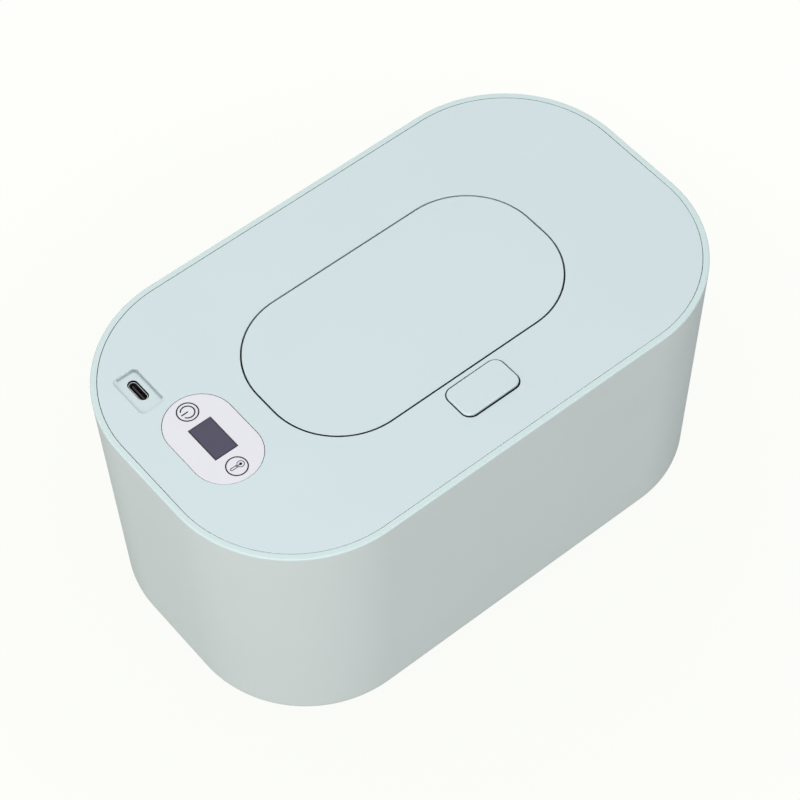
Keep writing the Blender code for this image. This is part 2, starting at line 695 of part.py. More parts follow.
def top_cover():
    """Deck with its skirt, lid bay, bosses, hinge lugs and latch rails."""
    edge = RIM_WIDTH + SEAM
    inside = edge + SKIRT_WALL
    rings = [
        level(box_outline(inside), DECK_TOP - DECK_THICKNESS),
        level(box_outline(inside), DECK_TOP - SKIRT_DEPTH),
        level(box_outline(edge), DECK_TOP - SKIRT_DEPTH),
        level(box_outline(edge), DECK_TOP - DECK_ROUND),
        level(box_outline(edge + DECK_ROUND), DECK_TOP),
    ]
    deck = loft("top_cover", rings)
    seat = DECK_THICKNESS - SINK
    bay_end = TRAY_DEPTH - FIT

    adds = [prism("bay", lid_outline(-BAY_OUTER), bay_end, seat)]
    cuts = [prism("lid_opening", lid_outline(-LID_GAP), bay_end + OVERRUN, -OVERRUN)]

    for x, y in cover_screw_places():
        boss, pilot = boss_and_pilot(COVER_SCREW, COVER_BOSS_RADIUS, x, y, bay_end, seat)
        adds.append(boss)
        cuts.append(pilot)
    for x, y in board_screw_places():
        boss, pilot = boss_and_pilot(BOARD_SCREW, BOARD_BOSS_RADIUS, x, y, BOARD_DEPTH - FIT, seat)
        adds.append(boss)
        cuts.append(pilot)

    for x_range in hinge_lug_ranges():
        reach = (LID_BACK + LID_GAP + SINK, PIN_Y + LUG_REACH)
        adds.append(block("hinge_lug", x_range, reach, PIN_DEPTH + LUG_DROP, seat))
    pin_end = ARM_X + ARM_WIDTH / 2 + ARM_CLEARANCE + LUG_THICKNESS + OVERRUN
    cuts.append(rod("pin_hole", PIN_RADIUS + PIN_PLAY, (-pin_end, pin_end), PIN_Y, PIN_DEPTH))
    for side in (-1, 1):
        half = ARM_WIDTH / 2 + ARM_CLEARANCE
        across = (side * ARM_X - half, side * ARM_X + half)
        depth_range = (bay_end + OVERRUN, DECK_THICKNESS)
        cuts.append(block("arm_notch", across, (LID_BACK - BAY_WALL, BAY_Y + SINK), *depth_range))

    adds += latch_rails()
    stop = (-LATCH_FRONT - LATCH_SPRING_SPACE - SPRING_STOP, -LATCH_FRONT - LATCH_SPRING_SPACE)
    half = SPRING_STOP_WIDTH / 2
    adds.append(block("spring_stop", (-half, half), stop, CATCH_DEPTH + RAIL_FOOT, seat))
    half = NOSE_WIDTH / 2 + ARM_CLEARANCE
    window = (-BAY_Y - SINK, -BAY_Y + BAY_WALL + SINK)
    depths = (CATCH_DEPTH + LATCH_WALL_GAP, LATCH_DEPTH - LATCH_WALL_GAP)
    cuts.append(block("nose_window", (-half, half), window, *depths))
    length = BUTTON_LENGTH + 2 * BUTTON_SIDE_GAP
    width = BUTTON_WIDTH + BUTTON_FRONT_GAP + BUTTON_BACK_GAP
    corner = BUTTON_CORNER + BUTTON_SIDE_GAP
    middle = BUTTON_Y + (BUTTON_BACK_GAP - BUTTON_FRONT_GAP) / 2
    outline = rounded(length, width, corner, SMALL_CORNER_STEPS, 0, middle)
    cuts.append(prism("button_opening", outline, DECK_THICKNESS + OVERRUN, -OVERRUN))

    wall = 2 * RECESS_FLOOR
    outline = rounded(
        RECESS_WIDTH + wall,
        RECESS_LENGTH + wall,
        RECESS_CORNER + RECESS_FLOOR,
        SMALL_CORNER_STEPS,
        RECESS_X,
        RECESS_Y,
    )
    adds.append(prism("port_block", outline, RECESS_DEPTH + RECESS_FLOOR, seat))
    outline = rounded(RECESS_WIDTH, RECESS_LENGTH, RECESS_CORNER, SMALL_CORNER_STEPS, RECESS_X, RECESS_Y)
    cuts.append(prism("port_recess", outline, RECESS_DEPTH, -OVERRUN))
    width = PORT_SHELL_WIDTH + 2 * PORT_MARGIN
    length = PORT_SHELL_LENGTH + 2 * PORT_MARGIN
    outline = slot_along_y(length, width, PORT_X, PORT_Y)
    cuts.append(prism("port_hole", outline, RECESS_DEPTH + RECESS_FLOOR + OVERRUN, RECESS_DEPTH - SINK))

    outline = slot_along_y(PANEL_LENGTH + 2 * FIT, PANEL_WIDTH + 2 * FIT, PANEL_X, 0, CORNER_STEPS)
    cuts.append(prism("panel_pocket", outline, PANEL_POCKET, -OVERRUN))
    half_x = WINDOW_WIDTH / 2 - WINDOW_LEDGE
    half_y = WINDOW_LENGTH / 2 - WINDOW_LEDGE
    x_range = (PANEL_X - half_x, PANEL_X + half_x)
    depths = (DECK_THICKNESS + OVERRUN, PANEL_POCKET - SINK)
    cuts.append(block("display_hole", x_range, (-half_y, half_y), *depths))

    finish(deck, "top_cover", PLASTIC)
    shape_with(deck, adds, cuts)


def slot_along_y(length, width, x, y, steps=SMALL_CORNER_STEPS):
    """Outline with half-round ends, its longer size along Y."""
    return rounded(width, length, width / 2 - END_FLAT, steps, x, y)


def tray_outline(inset):
    return box_outline(LEDGE_OPENING + TRAY_CLEARANCE + inset)


def heat_outline(margin):
    """Outline of the heat plate, grown on all sides by a margin."""
    return rounded(PLATE_LENGTH + 2 * margin, PLATE_WIDTH + 2 * margin, PLATE_CORNER + margin)


def aperture_outline(margin):
    return slot(APERTURE_LENGTH + 2 * margin, APERTURE_WIDTH + 2 * margin)


def under_cover():
    """Tray that closes the cover from below, with the well and the collar of the wipe opening."""
    rim = DECK_TOP - RECESS_DEPTH - RECESS_FLOOR - FIT
    rings = [
        level(tray_outline(0), DECK_TOP - TRAY_BOTTOM),
        level(tray_outline(0), rim),
        level(tray_outline(TRAY_WALL), rim),
        level(tray_outline(TRAY_WALL), DECK_TOP - TRAY_DEPTH),
    ]
    tray = loft("under_cover", rings)
    well = slot(WELL_LENGTH, WELL_WIDTH)
    inside = slot(WELL_LENGTH - 2 * WELL_WALL, WELL_WIDTH - 2 * WELL_WALL)
    frame_outer = heat_outline(FIT + FRAME_WALL)
    frame_inner = heat_outline(FIT)
    adds = [
        prism("well", well, TRAY_DEPTH + SINK, WELL_TOP),
        prism("collar", aperture_outline(COLLAR_WALL), PLATE_BOTTOM, TRAY_BOTTOM - SINK),
        gasket("heater_frame", frame_outer, frame_inner, PLATE_BOTTOM, TRAY_BOTTOM - SINK),
    ]
    through = (TRAY_BOTTOM + OVERRUN, TRAY_DEPTH - OVERRUN)
    cuts = [
        prism("well_inside", inside, TRAY_DEPTH, WELL_TOP - OVERRUN),
        prism("aperture", aperture_outline(0), PLATE_BOTTOM + OVERRUN, TRAY_DEPTH - OVERRUN),
        post("wire_hole", GROMMET_NECK + FIT, GROMMET_X, GROMMET_Y, *through),
    ]
    for x, y in cover_screw_places():
        cuts.append(post("screw_hole", COVER_SCREW[0] + PILOT_PLAY, x, y, *through, SMALL_SIDES))
    for x, y in heat_screw_places():
        boss, pilot = boss_and_pilot(HEAT_SCREW, HEAT_BOSS_RADIUS, x, y, PLATE_TOP - FIT, TRAY_BOTTOM - SINK)
        adds.append(boss)
        cuts.append(pilot)
    finish(tray, "under_cover", SHELL_WHITE)
    shape_with(tray, adds, cuts)


def cover_seal():
    outer = RIM_WIDTH + FIT
    low = LEDGE_DEPTH - FIT
    ring = gasket("cover_seal", box_outline(outer), box_outline(outer + SEAL_WIDTH), low, low - SEAL_HEIGHT)
    finish(ring, "cover_seal", SILICONE)


def heater():
    """Insulation, heating film and aluminium plate, stacked under the tray."""
    collar = COLLAR_WALL + COLLAR_CLEARANCE
    clearance = HEAT_BOSS_RADIUS + HEAT_BOSS_CLEARANCE
    boss_holes = [circle(clearance, x, y) for x, y in heat_screw_places()]
    screw_holes = [circle(HEAT_SCREW[0] + PILOT_PLAY, x, y, SMALL_SIDES) for x, y in heat_screw_places()]

    left = GROMMET_X - GROMMET_FLANGE - FIT
    low = GROMMET_Y - PAD_WINDOW_WIDTH / 2
    window = [
        (left, low),
        (left + PAD_WINDOW_LENGTH, low),
        (left + PAD_WINDOW_LENGTH, low + PAD_WINDOW_WIDTH + FIT),
        (left, low + PAD_WINDOW_WIDTH + FIT),
    ]
    outlines = [heat_outline(0), aperture_outline(collar), window, *boss_holes]
    pad = plate("insulation_pad", outlines, PAD_TOP + PAD_THICKNESS, PAD_TOP)
    finish(pad, "insulation_pad", FOAM)

    outlines = [heat_outline(-FILM_INSET), aperture_outline(collar + FILM_INSET), *boss_holes]
    film = plate("heating_film", outlines, FILM_TOP + FILM_THICKNESS, FILM_TOP)
    finish(film, "heating_film", FILM_ORANGE)

    outlines = [heat_outline(0), aperture_outline(collar), *screw_holes]
    sheet = plate("heat_plate", outlines, PLATE_BOTTOM, PLATE_TOP)
    finish(sheet, "heat_plate", ALUMINIUM)


def screws():
    """Pan-head screws of the cover, the board and the heat plate, heads down."""

    def screw(name, size, x, y, seat):
        shank, head, height, length = size
        dome = height / 3
        profile = [
            (0, length),
            (shank - dome / 2, length),
            (shank, length - shank),
            (shank, 0),
            (head, 0),
            (head, -height + dome),
            (head - dome, -height),
            (0, -height),
        ]
        finish(turned(name, profile, (x, y, DECK_TOP - seat), SMALL_SIDES), name, STEEL)

    for number, (x, y) in enumerate(cover_screw_places(), 1):
        screw(f"cover_screw_{number}", COVER_SCREW, x, y, TRAY_BOTTOM + FIT)
    for number, (x, y) in enumerate(board_screw_places(), 1):
        screw(f"board_screw_{number}", BOARD_SCREW, x, y, BOARD_UNDERSIDE + FIT)
    for number, (x, y) in enumerate(heat_screw_places(), 1):
        screw(f"heat_plate_screw_{number}", HEAT_SCREW, x, y, PLATE_BOTTOM + FIT)


def flip_lid():
    """Lid shell, and its inner plate with the two hinge arms and the catch."""
    rings = [
        level(lid_outline(LID_DRAFT), DECK_TOP - DECK_THICKNESS),
        level(lid_outline(0), DECK_TOP - LID_ROUND),
        level(lid_outline(LID_ROUND), DECK_TOP),
    ]
    finish(loft("lid_shell", rings), "lid_shell", PLASTIC)

    inner = prism("lid_inner", lid_outline(LID_INNER_INSET), INNER_BOTTOM, INNER_TOP)
    adds = []
    for side in (-1, 1):
        edges = (side * ARM_X - ARM_WIDTH / 2, side * ARM_X + ARM_WIDTH / 2)
        adds.append(side_prism("lid_arm", arm_profile(), edges))
    front = -LID_BACK + CATCH_SETBACK
    tab_front = front + CATCH_LIP
    tab_back = tab_front + CATCH_TAB
    bottom = CATCH_DEPTH + CATCH_TAB
    lip_slope = CATCH_TAB / 2
    hook = [
        (tab_back, INNER_BOTTOM - SINK),
        (tab_front, INNER_BOTTOM - SINK),
        (tab_front, CATCH_DEPTH),
        (front, CATCH_DEPTH),
        (front, CATCH_DEPTH + lip_slope),
        (front + lip_slope, bottom),
        (tab_back, bottom),
    ]
    adds.append(side_prism("catch", hook, (-CATCH_WIDTH / 2, CATCH_WIDTH / 2)))
    reach = ARM_X + ARM_WIDTH
    cuts = [rod("eye_hole", PIN_RADIUS + PIN_PLAY, (-reach, reach), PIN_Y, PIN_DEPTH)]
    finish(inner, "lid_inner", SHELL_WHITE)
    shape_with(inner, adds, cuts)

    outer = slot(WELL_LENGTH + LID_SEAL_WIDTH - WELL_WALL, WELL_WIDTH + LID_SEAL_WIDTH - WELL_WALL)
    inside = slot(WELL_LENGTH - LID_SEAL_WIDTH - WELL_WALL, WELL_WIDTH - LID_SEAL_WIDTH - WELL_WALL)
    ring = gasket("lid_seal", outer, inside, LID_SEAL_TOP + LID_SEAL_HEIGHT, LID_SEAL_TOP)
    finish(ring, "lid_seal", SILICONE)


def arm_profile():
    """Side view of a lid arm as (y, depth): round eye, down, forward, and up to the lid."""
    half = NECK_THICKNESS / 2
    low = PIN_DEPTH + NECK_DROP
    front = PIN_Y - NECK_REACH
    start = math.asin(half / EYE_RADIUS)
    points = []
    for step in range(SMALL_SIDES + 1):
        angle = start + (2 * math.pi - 2 * start) * step / SMALL_SIDES
        points.append((PIN_Y + EYE_RADIUS * math.sin(angle), PIN_DEPTH + EYE_RADIUS * math.cos(angle)))
    points += [
        (PIN_Y - half, low - half),
        (front + half, low - half),
        (front + half, INNER_TOP),
        (front - half, INNER_TOP),
        (front - half, low),
        (front, low + half),
        (PIN_Y, low + half),
        (PIN_Y + half, low),
    ]
    return points


def hinge_pin():
    end = ARM_X + ARM_WIDTH / 2 + ARM_CLEARANCE + LUG_THICKNESS
    pin = rod("hinge_pin", PIN_RADIUS, (-end, end), PIN_Y, PIN_DEPTH)
    finish(pin, "hinge_pin", STEEL)


def lid_spring():
    """Torsion spring round the pin, between a lug and the right arm, with a tail under the arm."""
    steps = COIL_STEPS
    last = ARM_X - ARM_WIDTH / 2 - LID_SPRING_WIRE - FIT
    first = last - LID_SPRING_TURNS * LID_SPRING_PITCH
    points = [(first, PIN_Y + LID_SPRING_RADIUS, DECK_TOP - PIN_DEPTH - LID_SPRING_REST)]
    for step in range(LID_SPRING_TURNS * steps + steps // 2 + 1):
        angle = 2 * math.pi * step / steps
        x = first + (last - first) * min(1.0, step / (LID_SPRING_TURNS * steps))
        y = PIN_Y + LID_SPRING_RADIUS * math.cos(angle)
        points.append((x, y, DECK_TOP - PIN_DEPTH + LID_SPRING_RADIUS * math.sin(angle)))
    tail_depth = PIN_DEPTH + NECK_DROP + NECK_THICKNESS / 2 + LID_SPRING_WIRE + FIT
    tail_y = PIN_Y - LID_SPRING_RADIUS - LID_SPRING_TAIL
    points.append((last, tail_y, DECK_TOP - tail_depth))
    points.append((last + LID_SPRING_HOOK, tail_y, DECK_TOP - tail_depth))
    finish(tube("lid_spring", points, LID_SPRING_WIRE, 1), "lid_spring", STEEL)


def coil(name, turns, radius, wire, start, end):
    """Compression spring between two points, with flat end turns left out."""
    along = Vector(end) - Vector(start)
    turn = along.to_track_quat("Z", "Y").to_matrix()
    steps = COIL_STEPS
    points = []
    for step in range(turns * steps + 1):
        angle = 2 * math.pi * step / steps
        share = step / (turns * steps)
        across = turn @ Vector((radius * math.cos(angle), radius * math.sin(angle), 0))
        points.append(Vector(start) + along * share + across)
    return tube(name, points, wire, 1)


def latch():
    """Slide with its nose and ramp, and the spring behind it."""
    half = LATCH_WIDTH / 2
    deep = LATCH_DEPTH + LATCH_THICKNESS
    rear = -BAY_Y - LATCH_WALL_GAP
    tip = -LID_BACK + CATCH_SETBACK + CATCH_BITE
    slide = block("latch_slide", (-half, half), (-LATCH_FRONT, rear), deep, LATCH_DEPTH)
    nose = [
        (rear - SINK, LATCH_DEPTH),
        (tip - LATCH_THICKNESS, LATCH_DEPTH),
        (tip, deep - NOSE_TIP),
        (tip, deep),
        (rear - SINK, deep),
    ]
    ramp_foot = cam_plane() + LATCH_DEPTH
    ramp_head = cam_plane() + CAM_TOP
    ramp = [
        (ramp_foot, LATCH_DEPTH),
        (ramp_head, CAM_TOP),
        (ramp_head - RAMP_FLAT, CAM_TOP),
        (ramp_head - RAMP_FLAT, LATCH_DEPTH + SINK),
        (ramp_foot, LATCH_DEPTH + SINK),
    ]
    adds = [
        side_prism("nose", nose, (-NOSE_WIDTH / 2, NOSE_WIDTH / 2)),
        side_prism("ramp", ramp, (-CAM_WIDTH / 2, CAM_WIDTH / 2)),
    ]
    finish(slide, "latch_slide", SHELL_WHITE)
    shape_with(slide, adds)

    depth = DECK_TOP - LATCH_DEPTH - LATCH_THICKNESS / 2
    space = LATCH_SPRING_WIRE + FIT
    start = (0, -LATCH_FRONT - LATCH_SPRING_SPACE + space, depth)
    end = (0, -LATCH_FRONT - space, depth)
    spring = coil("latch_spring", LATCH_SPRING_TURNS, LATCH_SPRING_RADIUS, LATCH_SPRING_WIRE, start, end)
    finish(spring, "latch_spring", STEEL)


def cam_plane():
    """The y at which the ramp's 45 degree face would meet the deck's top."""
    return BUTTON_Y - CAM_LENGTH - RAMP_FLAT - CAM_TOP / 2


def release_button():
    """Hollow cap with a sloping top, two stops under the deck and the cam that drives the latch."""
    front = BUTTON_Y - BUTTON_WIDTH / 2

    def rise(y):
        return BUTTON_RISE + (BUTTON_BACK_RISE - BUTTON_RISE) * (y - front) / BUTTON_WIDTH

    def ring(inset, height, follow):
        outline = rounded(
            BUTTON_LENGTH - 2 * inset,
            BUTTON_WIDTH - 2 * inset,
            BUTTON_CORNER - inset,
            SMALL_CORNER_STEPS,
            0,
            BUTTON_Y,
        )
        return [(x, y, DECK_TOP + height + follow * rise(y)) for x, y in outline]

    rings = [
        ring(BUTTON_WALL, -BUTTON_TOP, 0),
        ring(BUTTON_WALL, -BUTTON_SKIRT, 0),
        ring(0, -BUTTON_SKIRT, 0),
    ]
    for step in range(EDGE_STEPS + 1):
        angle = math.pi / 2 * step / EDGE_STEPS
        rings.append(ring(BUTTON_ROUND * (1 - math.cos(angle)), BUTTON_ROUND * (math.sin(angle) - 1), 1))
    cap = loft("release_button", rings)

    half_y = BUTTON_STOP_WIDTH / 2
    inner = BUTTON_LENGTH / 2 - BUTTON_WALL / 2
    outer = BUTTON_LENGTH / 2 + BUTTON_STOP_REACH
    top = DECK_THICKNESS + FIT
    depths = (top + BUTTON_STOP_THICKNESS, top)
    y_range = (BUTTON_Y - half_y, BUTTON_Y + half_y)
    adds = [block("stop", (side * inner, side * outer), y_range, *depths) for side in (-1, 1)]
    plane = cam_plane() + FIT * math.sqrt(2)
    cam_tip = CAM_TOP + CAM_BITE
    cam_front = CAM_TOP - CAM_BITE
    wedge = [
        (plane + cam_tip, cam_tip),
        (plane + cam_front, cam_front),
        (plane + cam_front, BUTTON_TOP - SINK),
        (plane + cam_tip + CAM_BACK, BUTTON_TOP - SINK),
        (plane + cam_tip + CAM_BACK, cam_tip),
    ]
    adds.append(side_prism("cam", wedge, (-CAM_WIDTH / 2, CAM_WIDTH / 2)))
    finish(cap, "release_button", PLASTIC)
    shape_with(cap, adds)


def control_panel():
    """Printed overlay with the display window set in it."""
    overlay_outline = slot_along_y(PANEL_LENGTH, PANEL_WIDTH, PANEL_X, 0, CORNER_STEPS)

    def window(margin):
        half_x = WINDOW_WIDTH / 2 + margin
        half_y = WINDOW_LENGTH / 2 + margin
        corners = ((-1, -1), (1, -1), (1, 1), (-1, 1))
        return [(PANEL_X + half_x * side_x, half_y * side_y) for side_x, side_y in corners]

    overlay = plate("control_overlay", [overlay_outline, window(HALF_FIT)], PANEL_THICKNESS, 0)
    finish(overlay, "control_overlay", PANEL_WHITE)
    lens = prism("display_window", window(0), PANEL_THICKNESS, 0)
    finish(lens, "display_window", SMOKED)


def electronics():
    """Board, display, key springs and wire connectors."""
    middle_x = (BOARD_OUTER_X + BOARD_INNER_X) / 2
    middle_y = (BOARD_FRONT_Y + BOARD_BACK_Y) / 2
    outline = rounded(BOARD_WIDTH, BOARD_LENGTH, BOARD_CORNER, SMALL_CORNER_STEPS, middle_x, middle_y)
    radius = BOARD_SCREW[0] + PILOT_PLAY
    holes = [circle(radius, x, y, SMALL_SIDES) for x, y in board_screw_places()]
    board = plate("control_board", [outline, *holes], BOARD_UNDERSIDE, BOARD_DEPTH)
    finish(board, "control_board", BOARD_GREEN)

    half_x = DISPLAY_WIDTH / 2
    half_y = DISPLAY_LENGTH / 2
    x_range = (PANEL_X - half_x, PANEL_X + half_x)
    display = block("display_module", x_range, (-half_y, half_y), PART_DEPTH, DECK_THICKNESS + FIT)
    bevel = display.modifiers.new("edges", "BEVEL")
    bevel.width = SINK
    bevel.segments = 1
    finish(display, "display_module", BLACK_PLASTIC)

    space = KEY_SPRING_WIRE + FIT
    high = DECK_TOP - DECK_THICKNESS - space
    low = DECK_TOP - BOARD_DEPTH + space
    for name, y in (("touch_spring_power", KEY_Y), ("touch_spring_temperature", -KEY_Y)):
        ends = ((PANEL_X, y, low), (PANEL_X, y, high))
        spring = coil(name, KEY_SPRING_TURNS, KEY_SPRING_RADIUS, KEY_SPRING_WIRE, *ends)
        finish(spring, name, STEEL)

    for name, x, width in (
        ("heater_connector", HEATER_CONNECTOR_X, HEATER_CONNECTOR_WIDTH),
        ("sensor_connector", SENSOR_CONNECTOR_X, SENSOR_CONNECTOR_WIDTH),
    ):
        y_range = (CONNECTOR_Y - CONNECTOR_DEPTH / 2, CONNECTOR_Y + CONNECTOR_DEPTH / 2)
        x_range = (x - width / 2, x + width / 2)
        housing = block(name, x_range, y_range, PART_DEPTH, PART_DEPTH - CONNECTOR_HEIGHT)
        bevel = housing.modifiers.new("edges", "BEVEL")
        bevel.width = SINK
        bevel.segments = 1
        finish(housing, name, NYLON)


def power_inlet():
    """Upright inlet: a steel shell with the tongue and its base inside."""
    outer = slot_along_y(PORT_SHELL_LENGTH, PORT_SHELL_WIDTH, PORT_X, PORT_Y)
    length = PORT_SHELL_LENGTH - 2 * PORT_SHELL_WALL
    width = PORT_SHELL_WIDTH - 2 * PORT_SHELL_WALL
    inner = slot_along_y(length, width, PORT_X, PORT_Y)
    shell = gasket("usb_shell", outer, inner, PART_DEPTH, RECESS_DEPTH + PORT_SETBACK)
    finish(shell, "usb_shell", STEEL)

    base = slot_along_y(length - 2 * HALF_FIT, width - 2 * HALF_FIT, PORT_X, PORT_Y)
    core = prism("usb_core", base, PART_DEPTH, PART_DEPTH - CORE_HEIGHT)
    half_x = TONGUE_WIDTH / 2
    half_y = TONGUE_LENGTH / 2
    x_range = (PORT_X - half_x, PORT_X + half_x)
    y_range = (PORT_Y - half_y, PORT_Y + half_y)
    top = RECESS_DEPTH + TONGUE_SETBACK
    tongue = block("tongue", x_range, y_range, PART_DEPTH - CORE_HEIGHT + SINK, top)
    finish(core, "usb_core", BLACK_PLASTIC)
    shape_with(core, [tongue])


def wiring():
    """Grommet, the two heater leads, the sensor lead, the thermal fuse and the temperature sensor."""
    above = FIT + GROMMET_LIP
    profile = [
        (GROMMET_BORE, above),
        (GROMMET_FLANGE, above),
        (GROMMET_FLANGE, FIT),
        (GROMMET_NECK, FIT),
        (GROMMET_NECK, -TRAY_FLOOR + FIT),
        (GROMMET_BORE, -TRAY_FLOOR + FIT),
    ]
    place = (GROMMET_X, GROMMET_Y, DECK_TOP - TRAY_DEPTH)
    grommet = turned("wire_grommet", profile, place, ring=True)
    finish(grommet, "wire_grommet", RUBBER)

    exit_y = CONNECTOR_Y - CONNECTOR_DEPTH / 2 - FIT
    exit_depth = PART_DEPTH - CONNECTOR_HEIGHT / 2
    film = FILM_TOP - FIT
    pad_middle = PAD_TOP + PAD_THICKNESS / 2

    def drop(x, y, depth):
        return (x, y, DECK_TOP - depth)

    def lead(name, points, look):
        finish(tube(name, smooth_route(points, ROUTE_STEPS), LEAD_RADIUS, 2), name, look)

    heater_y = GROMMET_Y - LEAD_FRONT
    sensor_y = GROMMET_Y + LEAD_BACK
    left = GROMMET_X - LEAD_SPREAD
    right = GROMMET_X + LEAD_SPREAD
    reach = GROMMET_X - HEATER_CONNECTOR_X
    start = HEATER_CONNECTOR_X - LEAD_PIN_SPACING
    route = [
        drop(start, exit_y, exit_depth),
        drop(start, exit_y - 2 * LEAD_BEND, exit_depth),
        drop(start + reach / 3, heater_y - LEAD_BEND / 2, exit_depth),
        drop(left - LEAD_BEND, heater_y - LEAD_BEND, exit_depth + LEAD_BEND / 2),
        drop(left, heater_y, exit_depth + 2 * LEAD_BEND),
        drop(left, heater_y, TRAY_DEPTH),
        drop(left, heater_y, film),
    ]
    lead("heater_lead_1", route, RED_SLEEVE)

    start = HEATER_CONNECTOR_X + LEAD_PIN_SPACING
    fuse_start = GROMMET_X + SENSOR_GAP
    fuse_y = GROMMET_Y - FUSE_SHIFT
    route = [
        drop(start, exit_y, exit_depth),
        drop(start, exit_y - LEAD_BEND, exit_depth),
        drop(start + reach / 3, heater_y + LEAD_BEND, exit_depth - LEAD_BEND / 2),
        drop(right - LEAD_BEND, heater_y, exit_depth - LEAD_BEND / 2),
        drop(right, heater_y, exit_depth + LEAD_BEND),
        drop(right, heater_y, TRAY_DEPTH),
        drop(right, heater_y, TRAY_BOTTOM - FIT),
        drop(right + LEAD_BEND, (heater_y + fuse_y) / 2, pad_middle),
        drop(fuse_start - FIT, fuse_y, pad_middle),
    ]
    lead("heater_lead_2", route, BLACK_SLEEVE)

    bead_y = GROMMET_Y + BEAD_SHIFT
    route = [
        drop(SENSOR_CONNECTOR_X, exit_y, exit_depth),
        drop(SENSOR_CONNECTOR_X, exit_y - LEAD_BEND, exit_depth),
        drop(GROMMET_X - LEAD_BEND, sensor_y + LEAD_BEND, exit_depth + LEAD_BEND / 2),
        drop(GROMMET_X, sensor_y, exit_depth + 2 * LEAD_BEND),
        drop(GROMMET_X, sensor_y, TRAY_DEPTH),
        drop(GROMMET_X, sensor_y, TRAY_BOTTOM - FIT),
        drop(GROMMET_X + LEAD_BEND, bead_y, pad_middle),
        drop(fuse_start - FIT, bead_y, pad_middle),
    ]
    lead("sensor_lead", route, WHITE_SLEEVE)

    cone = FUSE_RADIUS
    profile = [
        (0, FUSE_LEG + FUSE_LENGTH + FUSE_LEG),
        (FUSE_LEG_RADIUS, FUSE_LEG + FUSE_LENGTH + FUSE_LEG),
        (FUSE_LEG_RADIUS, FUSE_LEG + FUSE_LENGTH),
        (FUSE_RADIUS, FUSE_LEG + FUSE_LENGTH - cone),
        (FUSE_RADIUS, FUSE_LEG),
        (FUSE_LEG_RADIUS, FUSE_LEG),
        (FUSE_LEG_RADIUS, 0),
        (0, 0),
    ]
    place = drop(fuse_start, fuse_y, pad_middle)
    fuse = turned("thermal_fuse", profile, place, SMALL_SIDES, along_x=True)
    finish(fuse, "thermal_fuse", STEEL)

    neck = BEAD_RADIUS * 2 / 3
    profile = [
        (0, BEAD_LENGTH),
        (neck, BEAD_LENGTH - neck / 2),
        (BEAD_RADIUS, BEAD_LENGTH - BEAD_RADIUS),
        (neck, BEAD_LENGTH - 2 * BEAD_RADIUS),
        (neck, 0),
        (0, 0),
    ]
    place = drop(fuse_start, bead_y, pad_middle)
    bead = turned("temperature_sensor", profile, place, SMALL_SIDES, along_x=True)
    finish(bead, "temperature_sensor", BLACK_PLASTIC)


clear_scene()
PARTS = new_collection("baby_wipe_warmer")
CUTTERS = new_collection("cutters", hidden=True)
box_body()
feet()
top_cover()
under_cover()
cover_seal()
heater()
screws()
flip_lid()
hinge_pin()
lid_spring()
latch()
release_button()
control_panel()
electronics()
power_inlet()
wiring()
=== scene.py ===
"""Looks of a baby wipe warmer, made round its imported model.

Metres, +Z up, in the model's own frame: the release button is on the -Y side, the control panel and
the power inlet are at the -X end. Depths are measured down from the top of the deck.
"""

import math

import bmesh
import bpy
from mathutils import Matrix, Vector

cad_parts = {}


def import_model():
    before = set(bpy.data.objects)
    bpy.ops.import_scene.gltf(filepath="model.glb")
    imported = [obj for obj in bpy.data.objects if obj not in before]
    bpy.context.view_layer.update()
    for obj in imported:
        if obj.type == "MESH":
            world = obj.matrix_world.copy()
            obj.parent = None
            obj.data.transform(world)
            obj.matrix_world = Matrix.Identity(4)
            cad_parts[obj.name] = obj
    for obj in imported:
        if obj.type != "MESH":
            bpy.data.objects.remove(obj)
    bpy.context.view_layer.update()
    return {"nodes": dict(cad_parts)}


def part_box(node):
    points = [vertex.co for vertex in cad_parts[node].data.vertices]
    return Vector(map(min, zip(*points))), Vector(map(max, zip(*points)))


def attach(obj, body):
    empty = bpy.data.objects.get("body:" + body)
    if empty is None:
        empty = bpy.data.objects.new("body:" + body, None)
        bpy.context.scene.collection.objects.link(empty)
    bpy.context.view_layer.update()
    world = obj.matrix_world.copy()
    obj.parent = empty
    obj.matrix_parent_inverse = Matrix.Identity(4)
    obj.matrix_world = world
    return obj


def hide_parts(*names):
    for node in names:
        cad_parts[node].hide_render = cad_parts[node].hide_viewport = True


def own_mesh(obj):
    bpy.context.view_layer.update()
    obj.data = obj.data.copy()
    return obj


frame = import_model()

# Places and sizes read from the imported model
TUB_LOW, TUB_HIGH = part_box("box_body")
DECK_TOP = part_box("top_cover")[1].z
TRAY_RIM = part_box("under_cover")[1].z
LID_LOW, LID_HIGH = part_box("lid_shell")
PANEL_LOW, PANEL_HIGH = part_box("control_overlay")
WINDOW_LOW, WINDOW_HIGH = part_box("display_window")
PORT_LOW, PORT_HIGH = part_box("usb_shell")
PIN_LOW, PIN_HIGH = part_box("hinge_pin")

# Shared fits: play, overrun of cutters, overlap of joined solids, a shift that keeps faces apart, and
# the thickness of ink
FIT = 0.0003
OVERRUN = 0.0010
SINK = 0.0004
SKIM = 0.00001
PRINT = 0.00003

